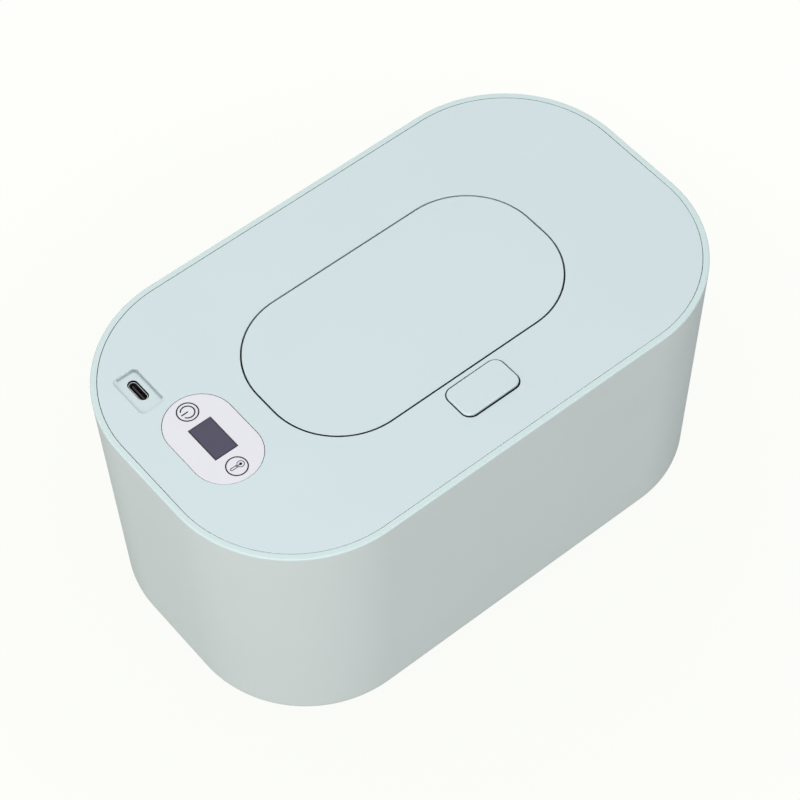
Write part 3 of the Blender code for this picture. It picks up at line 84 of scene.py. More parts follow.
# Tub
TUB_CORNER = 0.0487
TUB_WALL = 0.0022
TUB_FLOOR = 0.0026
WALL_DRAFT = 0.0032
BASE_ROUND = 0.0030
INNER_ROUND = 0.0045
RIM_WIDTH = 0.00225
RIM_ROUND = 0.0006
RIM_INNER_ROUND = 0.0001
LEDGE_DEPTH = 0.0085
LEDGE_WIDTH = 0.0032
LEDGE_THICKNESS = 0.0018
LEDGE_ROUND = 0.0005
LABEL_SEAT = (0.0560, 0.0300, 0.0030)
LABEL_DEPTH = 0.0004
TUB_HEIGHT = TUB_HIGH.z - TUB_LOW.z
TUB_LENGTH = TUB_HIGH.x - TUB_LOW.x + 2 * WALL_DRAFT * RIM_ROUND / TUB_HEIGHT
TUB_WIDTH = TUB_HIGH.y - TUB_LOW.y + 2 * WALL_DRAFT * RIM_ROUND / TUB_HEIGHT

# Feet
FOOT_SEAT = 0.0010
FOOT_ROUND = 0.0004
FOOT_DISH = 0.0020
FOOT_NODES = ("foot_front_left", "foot_front_right", "foot_back_left", "foot_back_right")

# Deck
SEAM = 0.0002
DECK_THICKNESS = 0.0016
DECK_ROUND = 0.00015
OPENING_ROUND = 0.00015
SKIRT_WALL = 0.0018
SEAL_HEIGHT = 0.0014
SEAL_WIDTH = 0.0024
LID_GAP = 0.0006
BAY_WALL = 0.0016
TRAY_DEPTH = 0.0160
TRAY_FLOOR = 0.0020
TRAY_WALL = 0.0018
TRAY_CLEARANCE = 0.0012
HEATER_FRAME_WALL = 0.0016

# Screws: count, shank radius, head height and shank length of each group
SCREWS = {
    "cover_screw_": (6, 0.0013, 0.0016, 0.0100),
    "board_screw_": (3, 0.0009, 0.0012, 0.0060),
    "heat_plate_screw_": (4, 0.0010, 0.0014, 0.0055),
}
COVER_BOSS = 0.0028
BOARD_BOSS = 0.0022
HEAT_BOSS = 0.0030
BOARD_DEPTH = 0.0115
PILOT_PLAY = 0.0003
PILOT_SPARE = 0.0010
THREAD_PITCH = 0.00055
CROSS_REACH_SHARE = 0.55
CROSS_WIDTH_SHARE = 0.25
CROSS_DEPTH_SHARE = 0.6
HEAD_EDGE_START = 290
SHANK_TIP_SHARE = 0.15
SHANK_END_SHARE = 0.8

# Flip lid
LID_CORNER = 0.0274
LID_DRAFT = 0.0004
LID_ROUND = 0.00015
LINER_INSET = 0.0018
LINER_THICKNESS = 0.0016
LINER_ROUND = 0.0004
LID_SEAL_HEIGHT = 0.0014
LID_SEAL_WIDTH = 0.0022
WELL_LENGTH = 0.1020
WELL_WIDTH = 0.0480
WELL_WALL = 0.0018
APERTURE_LENGTH = 0.0840
APERTURE_WIDTH = 0.0320
COLLAR_WALL = 0.0016

# Hinge arms
EYE_RADIUS = 0.0021
PIN_PLAY = 0.00025
PIN_RADIUS = 0.0010
NECK_DROP = 0.0081
NECK_REACH = 0.0094
NECK_THICKNESS = 0.0020
ARM_WIDTH = 0.0060
ARM_X = 0.0280
ARM_CLEARANCE = 0.0006
LUG_THICKNESS = 0.0018
LUG_REACH = 0.0032
LUG_DROP = 0.0034
LUG_SPAN = 0.00475
LID_SPRING_RADIUS = 0.00185
LID_SPRING_WIRE = 0.00035
LID_SPRING_TURNS = 3
LID_SPRING_PITCH = 0.00115
LID_SPRING_TAIL = 0.0024
LID_SPRING_HOOK = 0.0030
LID_SPRING_REST = 0.0045

# Catch and latch
CATCH_SETBACK = 0.0007
CATCH_LIP = 0.0021
CATCH_TAB = 0.0016
CATCH_WIDTH = 0.0090
LATCH_DEPTH = 0.0082
LATCH_THICKNESS = 0.0018
LATCH_WIDTH = 0.0280
NOSE_WIDTH = 0.0110
RAIL_THICKNESS = 0.0016
RAIL_FOOT = 0.0014
SPRING_STOP = 0.0015
SPRING_STOP_WIDTH = 0.0080
LATCH_SPRING_WIRE = 0.00025
KEY_SPRING_WIRE = 0.0003
SPRING_TURNS = 5

# Release button: its cap's outline and place in the deck, its slopes, and what is under the cap
CAP_LENGTH = 0.0237
CAP_WIDTH = 0.0137
CAP_X = -0.00025
CAP_Y = -0.04105
BUTTON_CORNER = 0.0035
BUTTON_SIDE_GAP = 0.0004
BUTTON_FRONT_GAP = 0.00055
BUTTON_BACK_GAP = 0.00025
BUTTON_Y = -0.0412
BUTTON_LENGTH = 0.0242
BUTTON_ROUND = 0.0008
BUTTON_RISE = 0.0010
BUTTON_BACK_RISE = 0.0006
BUTTON_TILT = 0.0003
BUTTON_SKIRT = 0.0056
BUTTON_TOP = 0.0018
BUTTON_WALL = 0.0016
BUTTON_STOP_WIDTH = 0.0080
BUTTON_STOP_THICKNESS = 0.0012
CAM_WIDTH = 0.0070
CAM_LENGTH = 0.0026
CAM_TOP = 0.0050
CAM_BITE = 0.0010
CAM_BACK = 0.0032
RAMP_FLAT = 0.0010

# Control panel: places on the overlay are measured from its middle
PANEL_EDGE = 0.00012
PANEL_GAP = 0.0002
WINDOW_LEDGE = 0.0006
WINDOW_EDGE = 0.00008
WINDOW_BORDER = 0.0004
POWER_KEY = (-0.00005, 0.0138)
WARMTH_KEY = (-0.00065, -0.0138)
KEY_RING = 0.0039
KEY_LINE = 0.00046
POWER_LOOP = 0.0024
POWER_OPENING = 36
POWER_BAR = (0.0, -0.0024)
BULB_X = 0.0015
BULB_RADIUS = 0.00135
STEM_RADIUS = 0.00055
STEM_TIP = -0.0027
GLASS_LINE = 0.00026
MERCURY_RADIUS = 0.00052
MERCURY_LINE = 0.0003
MERCURY_SHARE = 0.45
LINE_END_ANGLE = 75

# Power inlet
RECESS_WIDTH = 0.0099
RECESS_LENGTH = 0.0177
RECESS_CORNER = 0.0020
RECESS_DEPTH = 0.0011
RECESS_FLOOR = 0.0016
RECESS_EDGE = 0.00005
RECESS_FILLET = 0.0003
RECESS_CLEAR = 0.0010
PORT_SHELL_WALL = 0.0003
PORT_MARGIN = 0.0003
PORT_SHIFT = (0.0004, 0.0010)
PORT_EDGE = 0.0001
CORE_HEIGHT = 0.0030
TONGUE_WIDTH = 0.0007
TONGUE_LENGTH = 0.0067
TONGUE_EDGE = 0.00012
CONTACTS = 12
CONTACT_PITCH = 0.0005
CONTACT_WIDTH = 0.00022
CONTACT_TIP = 0.0006

# Heat plate
PLATE_LENGTH = 0.1760
PLATE_WIDTH = 0.0860
PLATE_CORNER = 0.0280

# Painted shade inside narrow gaps, mixed into the colour: its colour, how far it looks round, and the
# shares of open space between which it fades. The deck has it near the lid and the button, within the
# field's half sizes, and the seam's fades in along Y
PAINTED_CREVICE_SHADE = (0.006, 0.009, 0.011)
CREVICE_SAMPLES = 6
CREVICE_REACH = 0.0012
BUTTON_REACH = 0.003
LID_CREVICE = (0.50, 0.85)
BUTTON_CREVICE = (0.40, 1.0)
DECK_CREVICE = (0.25, 0.60)
RECESS_CREVICE = (0.42, 1.0)
SEAM_CREVICE = (0.15, 0.50)
CREVICE_FIELD = (0.075, 0.053)
SEAM_SHADE = (-0.030, 0.010)

# Fineness of round shapes
CORNER_STEPS = 40
SMALL_STEPS = 12
EDGE_STEPS = 6
ROUND_SIDES = 48
SMOOTH_ANGLE = 32
COIL_STEPS = 24
WIRE_STEPS = 4
BEVEL_STEPS = 3

# Camera fitted to the photograph's outlines
CAMERA_TURN = -38.013
CAMERA_HEIGHT = 54.317
CAMERA_ROLL = -1.619
CAMERA_DISTANCE = 0.8951
CAMERA_AIM = (-0.02425, -0.02734)
CAMERA_LENS = 122.32
CAMERA_NEAR = 0.01
SENSOR = 36.0

# Colours of the moulded shells: the deck with the lid and the button, and the tub's walls; and a
# painted highlight, a lighter colour on the rim's top, which comes in between two depths
DECK_COLOUR = (0.672, 0.758, 0.756)
TUB_COLOUR = (0.692, 0.735, 0.690)
RIM_PAINTED_HIGHLIGHT = (0.685, 0.792, 0.760)
RIM_HIGHLIGHT_FADE = (0.0009, 0.0002)

# Satin plastic: sizes of its marks, heights of its bumps, and what they do to colour and gloss
SATIN_ROUGHNESS = 0.37
PLASTIC_IOR = 1.46
FLOW_SIZE = 0.045
FLOW_TINT = 0.02
FLOW_GLOSS = 0.06
WAVE_SIZE = 0.03
WAVE_HEIGHT = 0.00003
SPARK_SIZE = 0.00035
SPARK_HEIGHT = 0.000006
SPARK_GLOSS = 0.04

# Inside plastic, rubber and metal, in the same way
TOOL_CLOUD_SIZE = 0.012
TOOL_MARK_SIZE = 0.0012
TOOL_MARK_HEIGHT = 0.000015
TOOL_GLOSS = 0.12
TOOL_TINT = 0.04
DUST_SIZE = 0.004
DUST_TINT = 0.12
DUST_LIFT = 0.01
DUST_GLOSS = 0.16
PIT_SIZE = 0.0005
PIT_HEIGHT = 0.00003
STREAK_SIZE = 0.0006
STREAK_HEIGHT = 0.000008
STREAK_GLOSS = (-0.08, 0.18)
ROLLED_ALONG_X = (0.05, 1.0, 1.0)
STAIN_SIZE = 0.006
STAIN_TINT = 0.14

# Overlay film, window, ink, board, film heater and felt
OVERLAY_TINTS = ((0.815, 0.787, 0.815), (0.84, 0.81, 0.835))
OVERLAY_CLOUD_SIZE = 0.02
OVERLAY_ROUGHNESS = (0.34, 0.08)
SILK_SIZE = 0.0002
SILK_HEIGHT = 0.000003
GLASS_TINTS = ((0.045, 0.039, 0.077), (0.055, 0.048, 0.091))
GLASS_BORDER = (0.012, 0.010, 0.018)
GLASS_CLOUD_SIZE = 0.009
GLASS_ROUGHNESS = (0.28, 0.06)
INK_TINTS = ((0.010, 0.010, 0.014), (0.022, 0.022, 0.027))
INK_DOT_SIZE = 0.00012
INK_DOT_HEIGHT = 0.000004
BOARD_TINTS = ((0.010, 0.085, 0.035), (0.030, 0.200, 0.080))
BOARD_LANE = 0.0016
BOARD_RUN = 0.0050
BOARD_WOBBLE_SIZE = 0.008
BOARD_WOBBLE = (2.4, 0.5)
BOARD_SHARES = (0.55, 0.12)
BOARD_TRACK_HEIGHT = 0.00003
FILM_TINTS = ((0.52, 0.20, 0.03), (0.30, 0.13, 0.05))
FILM_PITCH = 0.0022
FILM_GAP = 0.0008
FILM_TRACK_HEIGHT = 0.00002
FELT_TINTS = ((0.42, 0.43, 0.45), (0.60, 0.61, 0.63))
FIBRE_SIZE = 0.0004
FIBRE_HEIGHT = 0.0002
TUFT_SIZE = 0.004

# Studio: the light from the sky in front and behind with the turn between them, the white that is
# seen, the floor, and each soft box's place, size and brightness
SKY = (0.845, 0.887, 0.938)
SKY_BEHIND = (0.12, 0.126, 0.133)
SKY_TURN = (-0.20, 0.90)
WHITE = (0.991, 1.0, 0.965)
FLOOR_HALF = 3.0
FLOOR_WHITE = 0.45
FLOOR_ROUGHNESS = 0.9
FLOOR_GLOW = 0.94
FLOOR_FADE = 0.9
TOP_SOFTBOX = ((-0.50, -0.20, 1.60), 1.2, 0.07)
LEFT_SOFTBOX = ((-0.80, -0.47, 0.92), 0.7, 0.28)
BACK_SOFTBOX = ((1.40, 1.80, 0.45), 1.4, 0.36)

# Worked out from the sizes above
LEDGE_OPENING = RIM_WIDTH + LEDGE_WIDTH
SKIRT_DEPTH = LEDGE_DEPTH - SEAL_HEIGHT - 2 * FIT
TRAY_BOTTOM = TRAY_DEPTH + TRAY_FLOOR
LID_LENGTH = LID_HIGH.x - LID_LOW.x
LID_WIDTH = LID_HIGH.y - LID_LOW.y
PIN_Y = (PIN_LOW.y + PIN_HIGH.y) / 2
PIN_DEPTH = DECK_TOP - (PIN_LOW.z + PIN_HIGH.z) / 2
LINER_TOP = DECK_THICKNESS + FIT
LINER_BOTTOM = LINER_TOP + LINER_THICKNESS
LID_SEAL_TOP = LINER_BOTTOM + FIT
WELL_TOP = LID_SEAL_TOP + LID_SEAL_HEIGHT + FIT
CATCH_DEPTH = LATCH_DEPTH + LATCH_THICKNESS + FIT
BAY_OUTER = LID_GAP + BAY_WALL
BAY_Y = LID_WIDTH / 2 + BAY_OUTER
PANEL_X = (PANEL_LOW.x + PANEL_HIGH.x) / 2
PANEL_WIDTH = PANEL_HIGH.x - PANEL_LOW.x
PANEL_LENGTH = PANEL_HIGH.y - PANEL_LOW.y
PANEL_THICKNESS = PANEL_HIGH.z - PANEL_LOW.z
WINDOW_WIDTH = WINDOW_HIGH.x - WINDOW_LOW.x
WINDOW_LENGTH = WINDOW_HIGH.y - WINDOW_LOW.y
PORT_X = (PORT_LOW.x + PORT_HIGH.x) / 2
PORT_Y = (PORT_LOW.y + PORT_HIGH.y) / 2
RECESS_X = PORT_X - PORT_SHIFT[0]
RECESS_Y = PORT_Y - PORT_SHIFT[1]


def arc(centre, radius, start, end, steps=EDGE_STEPS):
    """Points of a round edge, angles in degrees."""
    points = []
    for step in range(steps + 1):
        angle = math.radians(start + (end - start) * step / steps)
        points.append((centre[0] + radius * math.cos(angle), centre[1] + radius * math.sin(angle)))
    return points


def rounded(length, width, corner, steps=CORNER_STEPS, x=0.0, y=0.0):
    """Outline of a rectangle with round corners, anticlockwise."""
    points = []
    for quarter, (side_x, side_y) in enumerate(((1, 1), (-1, 1), (-1, -1), (1, -1))):
        centre = (x + side_x * (length / 2 - corner), y + side_y * (width / 2 - corner))
        points += arc(centre, corner, 90 * quarter, 90 * quarter + 90, steps)
    return points


def slot(length, width, steps=CORNER_STEPS, x=0.0, y=0.0):
    """Outline with half-round ends, whichever way it is longer."""
    return rounded(length, width, min(length, width) / 2 - SKIM, steps, x, y)


def circle(radius, x=0.0, y=0.0, sides=ROUND_SIDES):
    return arc((x, y), radius, 0, 360 * (sides - 1) / sides, sides - 1)


def tub_outline(inset):
    return rounded(TUB_LENGTH - 2 * inset, TUB_WIDTH - 2 * inset, TUB_CORNER - inset)


def lid_outline(inset):
    return rounded(LID_LENGTH - 2 * inset, LID_WIDTH - 2 * inset, LID_CORNER - inset)


def level(outline, z):
    return [(x, y, z) for x, y in outline]


def mesh_object(name, work):
    bmesh.ops.recalc_face_normals(work, faces=work.faces)
    mesh = bpy.data.meshes.new(name)
    work.to_mesh(mesh)
    work.free()
    obj = bpy.data.objects.new(name, mesh)
    bpy.context.scene.collection.objects.link(obj)
    return obj


def loft(name, rings, closed=False):
    """Solid through rings of equal point counts, with end caps, or closed on itself like a gasket."""
    work = bmesh.new()
    loops = [[work.verts.new(point) for point in ring] for ring in rings]
    count = len(loops[0])
    pairs = list(zip(loops, loops[1:]))
    if closed:
        pairs.append((loops[-1], loops[0]))
    for lower, upper in pairs:
        for i in range(count):
            j = (i + 1) % count
            work.faces.new((lower[i], lower[j], upper[j], upper[i]))
    if not closed:
        work.faces.new(list(reversed(loops[0])))
        work.faces.new(loops[-1])
    return mesh_object(name, work)


def layered(name, outline, section):
    """Solid on an outline that takes an inset, through the (inset, z) points of a section."""
    return loft(name, [level(outline(inset), z) for inset, z in section])


def prism(name, outline, deep, shallow):
    return loft(name, [level(outline, DECK_TOP - deep), level(outline, DECK_TOP - shallow)])


def soft_prism(name, outline, deep, shallow, edge):
    """Upright solid between two depths with round top and bottom edges. The outline takes an inset."""
    low = DECK_TOP - deep
    high = DECK_TOP - shallow
    section = arc((edge, low + edge), edge, 270, 180, EDGE_STEPS // 2)
    section += arc((edge, high - edge), edge, 180, 90, EDGE_STEPS // 2)
    return layered(name, outline, section)


def ring(name, outer, inner, deep, shallow, edge=0.0):
    """Ring of rectangular section between two outlines, its corners rounded by an edge."""
    low = DECK_TOP - deep
    high = DECK_TOP - shallow
    if not edge:
        rings = [level(outer(0), low), level(outer(0), high), level(inner(0), high), level(inner(0), low)]
        return loft(name, rings, True)
    rings = []
    steps = EDGE_STEPS // 2
    for centre, start, end in (((edge, low + edge), 270, 180), ((edge, high - edge), 180, 90)):
        rings += [level(outer(inset), z) for inset, z in arc(centre, edge, start, end, steps)]
    for centre, start, end in (((-edge, high - edge), 90, 0), ((-edge, low + edge), 0, -90)):
        rings += [level(inner(inset), z) for inset, z in arc(centre, edge, start, end, steps)]
    return loft(name, rings, True)


def block(name, x_range, y_range, deep, shallow, edge=0.0):
    """Box between two x values, two y values and two depths, with bevelled edges."""
    low = Vector((min(x_range), min(y_range), DECK_TOP - deep))
    high = Vector((max(x_range), max(y_range), DECK_TOP - shallow))
    work = bmesh.new()
    bmesh.ops.create_cube(work, size=1)
    place = Matrix.Translation((high + low) / 2) @ Matrix.Diagonal((*(high - low), 1))
    bmesh.ops.transform(work, matrix=place, verts=work.verts)
    if edge:
        bmesh.ops.bevel(work, geom=work.edges, offset=edge, segments=BEVEL_STEPS, profile=0.5, affect="EDGES")
    return mesh_object(name, work)


def side_prism(name, points, x_range, edge=0.0):
    """Solid along X on a side profile of (y, depth) points, with bevelled edges."""
    work = bmesh.new()
    loops = [[work.verts.new((x, y, DECK_TOP - depth)) for y, depth in points] for x in x_range]
    count = len(points)
    for i in range(count):
        j = (i + 1) % count
        work.faces.new((loops[0][i], loops[0][j], loops[1][j], loops[1][i]))
    caps = [work.faces.new(loops[0]), work.faces.new(loops[1])]
    if edge:
        edges = list({line for cap in caps for line in cap.edges})
        bmesh.ops.bevel(work, geom=edges, offset=edge, segments=BEVEL_STEPS, profile=0.5, affect="EDGES")
    return mesh_object(name, work)


def rod(name, radius, x_range, y, depth, edge=0.0):
    """Cylinder along X at a depth, with bevelled ends."""
    low, high = x_range
    section = [(low, radius - edge), (low + edge, radius), (high - edge, radius), (high, radius - edge)]
    if not edge:
        section = [(low, radius), (high, radius)]
    rings = [[(x, y + b, DECK_TOP - depth + c) for b, c in circle(r)] for x, r in section]
    return loft(name, rings)


def lathe(name, profile, place, sides=ROUND_SIDES):
    """Turned solid from the (radius, height) points of its outer side, bottom to top."""
    x, y, z = place
    rings = []
    for radius, height in profile:
        rings.append([(x + a, y + b, z + height) for a, b in circle(radius, 0, 0, sides)])
    return loft(name, rings)


def bake(obj):
    """Puts the evaluated mesh in the place of the object's mesh and modifiers."""
    graph = bpy.context.evaluated_depsgraph_get()
    graph.update()
    mesh = bpy.data.meshes.new_from_object(obj.evaluated_get(graph), depsgraph=graph)
    obj.modifiers.clear()
    obj.data = mesh
    return obj


def combine(base, adds=(), cuts=()):
    """Joins the first solids to the base and cuts the second ones from it, then removes both."""
    for solids, operation in ((list(adds), "UNION"), (list(cuts), "DIFFERENCE")):
        if not solids:
            continue
        group = bpy.data.collections.new("operands")
        bpy.context.scene.collection.children.link(group)
        for solid in solids:
            group.objects.link(solid)
        boolean = base.modifiers.new(operation.lower(), "BOOLEAN")
        boolean.operation = operation
        boolean.operand_type = "COLLECTION"
        boolean.collection = group
        boolean.solver = "EXACT"
        bake(base)
        for solid in solids:
            bpy.data.objects.remove(solid)
        bpy.data.collections.remove(group)
    return base


def opening(name, outline, deep, edge=OPENING_ROUND, floor_round=0.0):
    """Cutter for a hole or pocket in the deck's top whose upper edge comes out rounded.

    The outline takes a margin that grows it. A floor round makes a pocket with a filleted floor.
    """
    if floor_round:
        section = arc((-floor_round, DECK_TOP - deep + floor_round), floor_round, 270, 360)
    else:
        section = [(0, DECK_TOP - deep)]
    section += arc((edge, DECK_TOP - edge + SKIM), edge, 180, 90)
    section.append((edge, DECK_TOP + OVERRUN))
    return loft(name, [level(outline(margin), z) for margin, z in section])


def finish(obj, look, body, nodes=()):
    """Shades a piece, gives it its material and sets it on its body in the place of its nodes."""
    obj.data.materials.clear()
    obj.data.materials.append(look)
    obj.data.shade_smooth()
    obj.data.set_sharp_from_angle(angle=math.radians(SMOOTH_ANGLE))
    weighted = obj.modifiers.new("weighted normals", "WEIGHTED_NORMAL")
    weighted.keep_sharp = True
    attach(obj, body)
    if nodes:
        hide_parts(*nodes)
    return obj


class Socket:
    """An output in a material's node tree. Arithmetic on it adds Math nodes."""

    def __init__(self, nodes, output):
        self.nodes = nodes
        self.output = output

    def maths(self, operation, first, second):
        return self.nodes.add("ShaderNodeMath", {"operation": operation}, {0: first, 1: second})

    def __add__(self, other):
        return self.maths("ADD", self, other)

    def __radd__(self, other):
        return self.maths("ADD", other, self)

    def __sub__(self, other):
        return self.maths("SUBTRACT", self, other)

    def __rsub__(self, other):
        return self.maths("SUBTRACT", other, self)

    def __mul__(self, other):
        return self.maths("MULTIPLY", self, other)

    def __rmul__(self, other):
        return self.maths("MULTIPLY", other, self)

    def __truediv__(self, other):
        return self.maths("DIVIDE", self, other)

    def __pow__(self, other):
        return self.maths("POWER", self, other)

    def __gt__(self, other):
        return self.maths("GREATER_THAN", self, other)

    def __lt__(self, other):
        return self.maths("LESS_THAN", self, other)

    def __abs__(self):
        return self.maths("ABSOLUTE", self, 0)


class Nodes:
    """A material's or the world's node tree."""

    def __init__(self, tree):
        self.tree = tree

    def add(self, kind, settings=None, inputs=None, out=0):
        """Adds a node: its settings come first, then the values or links of its sockets."""
        node = self.tree.nodes.new(kind)
        for name, value in (settings or {}).items():
            setattr(node, name, value)
        for name, value in (inputs or {}).items():
            self.feed(node.inputs[name], value)
        return Socket(self, node.outputs[out])

    def feed(self, target, value):
        if isinstance(value, Socket):
            self.tree.links.new(value.output, target)
        else:
            target.default_value = value

    def place(self, axis):
        """The x, y or z of the shaded point in the model's frame, in metres."""
        point = self.add("ShaderNodeTexCoord", out="Object")
        return self.add("ShaderNodeSeparateXYZ", inputs={0: point}, out=axis)

    def noise(self, size, detail=2.0, roughness=0.5, stretch=None):
        """Noise around 0.5 with features of about a size in metres, stretched along the axes with the
        small stretch."""
        point = self.add("ShaderNodeTexCoord", out="Object")
        if stretch:
            point = self.add("ShaderNodeMapping", inputs={"Vector": point, "Scale": stretch})
        inputs = {"Vector": point, "Scale": 1 / size, "Detail": detail, "Roughness": roughness}
        return self.add("ShaderNodeTexNoise", inputs=inputs)

    def mix(self, factor, first, second):
        """Colour between two colours."""
        inputs = {0: factor, 6: self.colour(first), 7: self.colour(second)}
        return self.add("ShaderNodeMix", {"data_type": "RGBA"}, inputs, out=2)

    def colour(self, value):
        return value if isinstance(value, Socket) else (*value, 1)

    def bump(self, height, distance, strength=1.0, before=None):
        inputs = {"Height": height, "Distance": distance, "Strength": strength}
        if before:
            inputs["Normal"] = before
        return self.add("ShaderNodeBump", inputs=inputs)


class Finish:
    """A new material whose Principled shader takes plain values and links."""

    def __init__(self, name):
        self.material = bpy.data.materials.new(name)
        self.material.use_nodes = True
        tree = self.material.node_tree
        self.nodes = Nodes(tree)
        self.shader = tree.nodes["Principled BSDF"]

    def set(self, **sockets):
        """Sets sockets by their names in lower case, with underscores for spaces."""
        for name, value in sockets.items():
            target = self.shader.inputs[name.replace("_", " ").title().replace("Ior", "IOR")]
            if isinstance(value, tuple) and len(value) == 3:
                value = (*value, 1)
            self.nodes.feed(target, value)
        return self.material


def fade(nodes, value, start, end):
    """0 where a value is at its start, 1 at its end."""
    return nodes.add("ShaderNodeMapRange", inputs={0: value, 1: start, 2: end})


def openness(nodes, shares, reach=CREVICE_REACH):
    """Mask of painted shade: 1 on open surfaces, falling to 0 inside narrow gaps between two shares of open
    space.
    """
    settings = {"samples": CREVICE_SAMPLES}
    open_share = nodes.add("ShaderNodeAmbientOcclusion", settings, {"Distance": reach}, out="AO")
    return fade(nodes, open_share, *shares)


def within(nodes, middle, halves):
    """1 inside an upright box round a middle (x, y)."""
    across = abs(nodes.place("X") - middle[0]) < halves[0]
    return across * (abs(nodes.place("Y") - middle[1]) < halves[1])


# Painted shade in the gap round the lid.
def lid_openness(nodes):
    return openness(nodes, LID_CREVICE)


def button_openness(nodes):
    """Painted shade in the gap round the button, and a softer painted shade down its front."""
    front = nodes.place("Y") < CAP_Y - CAP_WIDTH / 2 + BUTTON_ROUND
    soft = openness(nodes, BUTTON_CREVICE, BUTTON_REACH)
    return front * soft + (1 - front) * openness(nodes, LID_CREVICE)


def seam_openness(nodes):
    """Painted shade in the seam between the deck and the tub, along the back and both ends."""
    shade = fade(nodes, nodes.place("Y"), *SEAM_SHADE)
    return 1 - shade * (1 - openness(nodes, SEAM_CREVICE))


def deck_openness(nodes):
    """Painted shade round the lid and the button, in the seam and in the inlet's hole, with a softer
    painted shade at the recess's far walls."""
    near = within(nodes, (0, 0), CREVICE_FIELD)
    gaps = 1 - near * (1 - openness(nodes, DECK_CREVICE))

    half_width = RECESS_WIDTH / 2
    half_length = RECESS_LENGTH / 2
    far_middle = (RECESS_X + RECESS_CLEAR, RECESS_Y + RECESS_CLEAR)
    far_walls = within(nodes, far_middle, (half_width - RECESS_CLEAR, half_length - RECESS_CLEAR))
    gaps = gaps * (1 - far_walls * (1 - openness(nodes, RECESS_CREVICE)))

    around = (half_width + RECESS_CLEAR, half_length + RECESS_CLEAR)
    recess = within(nodes, (RECESS_X, RECESS_Y), around)
    gaps = gaps * (1 - (1 - near) * (1 - recess) * (1 - seam_openness(nodes)))

    halves = [(high - low) / 2 + PORT_MARGIN + PRINT for low, high in zip(PORT_LOW.xy, PORT_HIGH.xy)]
    below = nodes.place("Z") < DECK_TOP - RECESS_DEPTH - PRINT
    return gaps * (1 - within(nodes, (PORT_X, PORT_Y), halves) * below)


def tub_openness(nodes):
    """Painted shade in the seam, down to the ledge."""
    below = nodes.place("Z") < DECK_TOP - LEDGE_DEPTH
    return 1 - (1 - seam_openness(nodes)) * (1 - below)


def tinted(colour, share, lift=0.0):
    """A colour made lighter or darker by a share."""
    return tuple(min(1.0, channel * share + lift) for channel in colour)


def moulded_plastic(name, colour, painted_shade=None, top=None, shine=0.5):
    """Satin moulded plastic: fine spark texture, faint flow clouds and, if asked for, painted shade in
    narrow gaps and a painted highlight in another colour on the top."""
    made = Finish(name)
    nodes = made.nodes
    clouds = nodes.noise(FLOW_SIZE, detail=3.0)
    waves = nodes.noise(WAVE_SIZE, detail=1.0)
    spark = nodes.noise(SPARK_SIZE, roughness=0.6)
    fine = nodes.bump(spark, SPARK_HEIGHT, strength=0.5)
    skin = nodes.mix(clouds, tinted(colour, 1 - FLOW_TINT), tinted(colour, 1 + FLOW_TINT))
    # Painted highlight: the top's lighter colour fades in over the rim's top
    if top:
        high = fade(nodes, DECK_TOP - nodes.place("Z"), *RIM_HIGHLIGHT_FADE)
        skin = nodes.mix(high, skin, top)
    # Painted shade: the colour darkens to the crevice shade inside narrow gaps
    if painted_shade:
        skin = nodes.mix(painted_shade(nodes), PAINTED_CREVICE_SHADE, skin)
    return made.set(
        base_color=skin,
        roughness=SATIN_ROUGHNESS + FLOW_GLOSS * clouds + SPARK_GLOSS * spark,
        normal=nodes.bump(waves, WAVE_HEIGHT, 0.3, fine),
        ior=PLASTIC_IOR,
        specular_ior_level=shine,
    )


def plain_plastic(name, colour, roughness=0.45):
    """Unpainted moulded plastic for inside pieces, with faint tool marks."""
    made = Finish(name)
    nodes = made.nodes
    clouds = nodes.noise(TOOL_CLOUD_SIZE, detail=3.0)
    marks = nodes.noise(TOOL_MARK_SIZE)
    return made.set(
        base_color=nodes.mix(clouds, tinted(colour, 1 - TOOL_TINT), colour),
        roughness=roughness - TOOL_GLOSS / 2 + TOOL_GLOSS * marks,
        normal=nodes.bump(marks, TOOL_MARK_HEIGHT, strength=0.4),
    )


def soft_rubber(name, colour, roughness=0.7):
    """Rubber or silicone with a dusty, finely pitted skin."""
    made = Finish(name)
    nodes = made.nodes
    dust = nodes.noise(DUST_SIZE, detail=4.0, roughness=0.6)
    pits = nodes.noise(PIT_SIZE)
    return made.set(
        base_color=nodes.mix(dust, colour, tinted(colour, 1 + DUST_TINT, DUST_LIFT)),
        roughness=roughness - DUST_GLOSS / 2 + DUST_GLOSS * dust,
        normal=nodes.bump(pits, PIT_HEIGHT, strength=0.5),
    )


def metal(name, colour, roughness=0.28, stretch=(1.0, 1.0, 1.0)):
    """Metal with drawing or rolling marks that run along the axes with the small stretch."""
    made = Finish(name)
    nodes = made.nodes
    streaks = nodes.noise(STREAK_SIZE, detail=4.0, roughness=0.6, stretch=stretch)
    stains = nodes.noise(STAIN_SIZE, detail=3.0)
    return made.set(
        base_color=nodes.mix(stains, tinted(colour, 1 - STAIN_TINT), colour),
        metallic=1.0,
        roughness=roughness + STREAK_GLOSS[0] + STREAK_GLOSS[1] * streaks,
        normal=nodes.bump(streaks, STREAK_HEIGHT, strength=0.5),
    )


def overlay_film():
    """White printed film with a soft lavender cast and a silky surface."""
    made = Finish("overlay_film")
    nodes = made.nodes
    clouds = nodes.noise(OVERLAY_CLOUD_SIZE)
    silk = nodes.noise(SILK_SIZE)
    return made.set(
        base_color=nodes.mix(clouds, *OVERLAY_TINTS),
        roughness=OVERLAY_ROUGHNESS[0] + OVERLAY_ROUGHNESS[1] * silk,
        normal=nodes.bump(silk, SILK_HEIGHT, strength=0.4),
    )


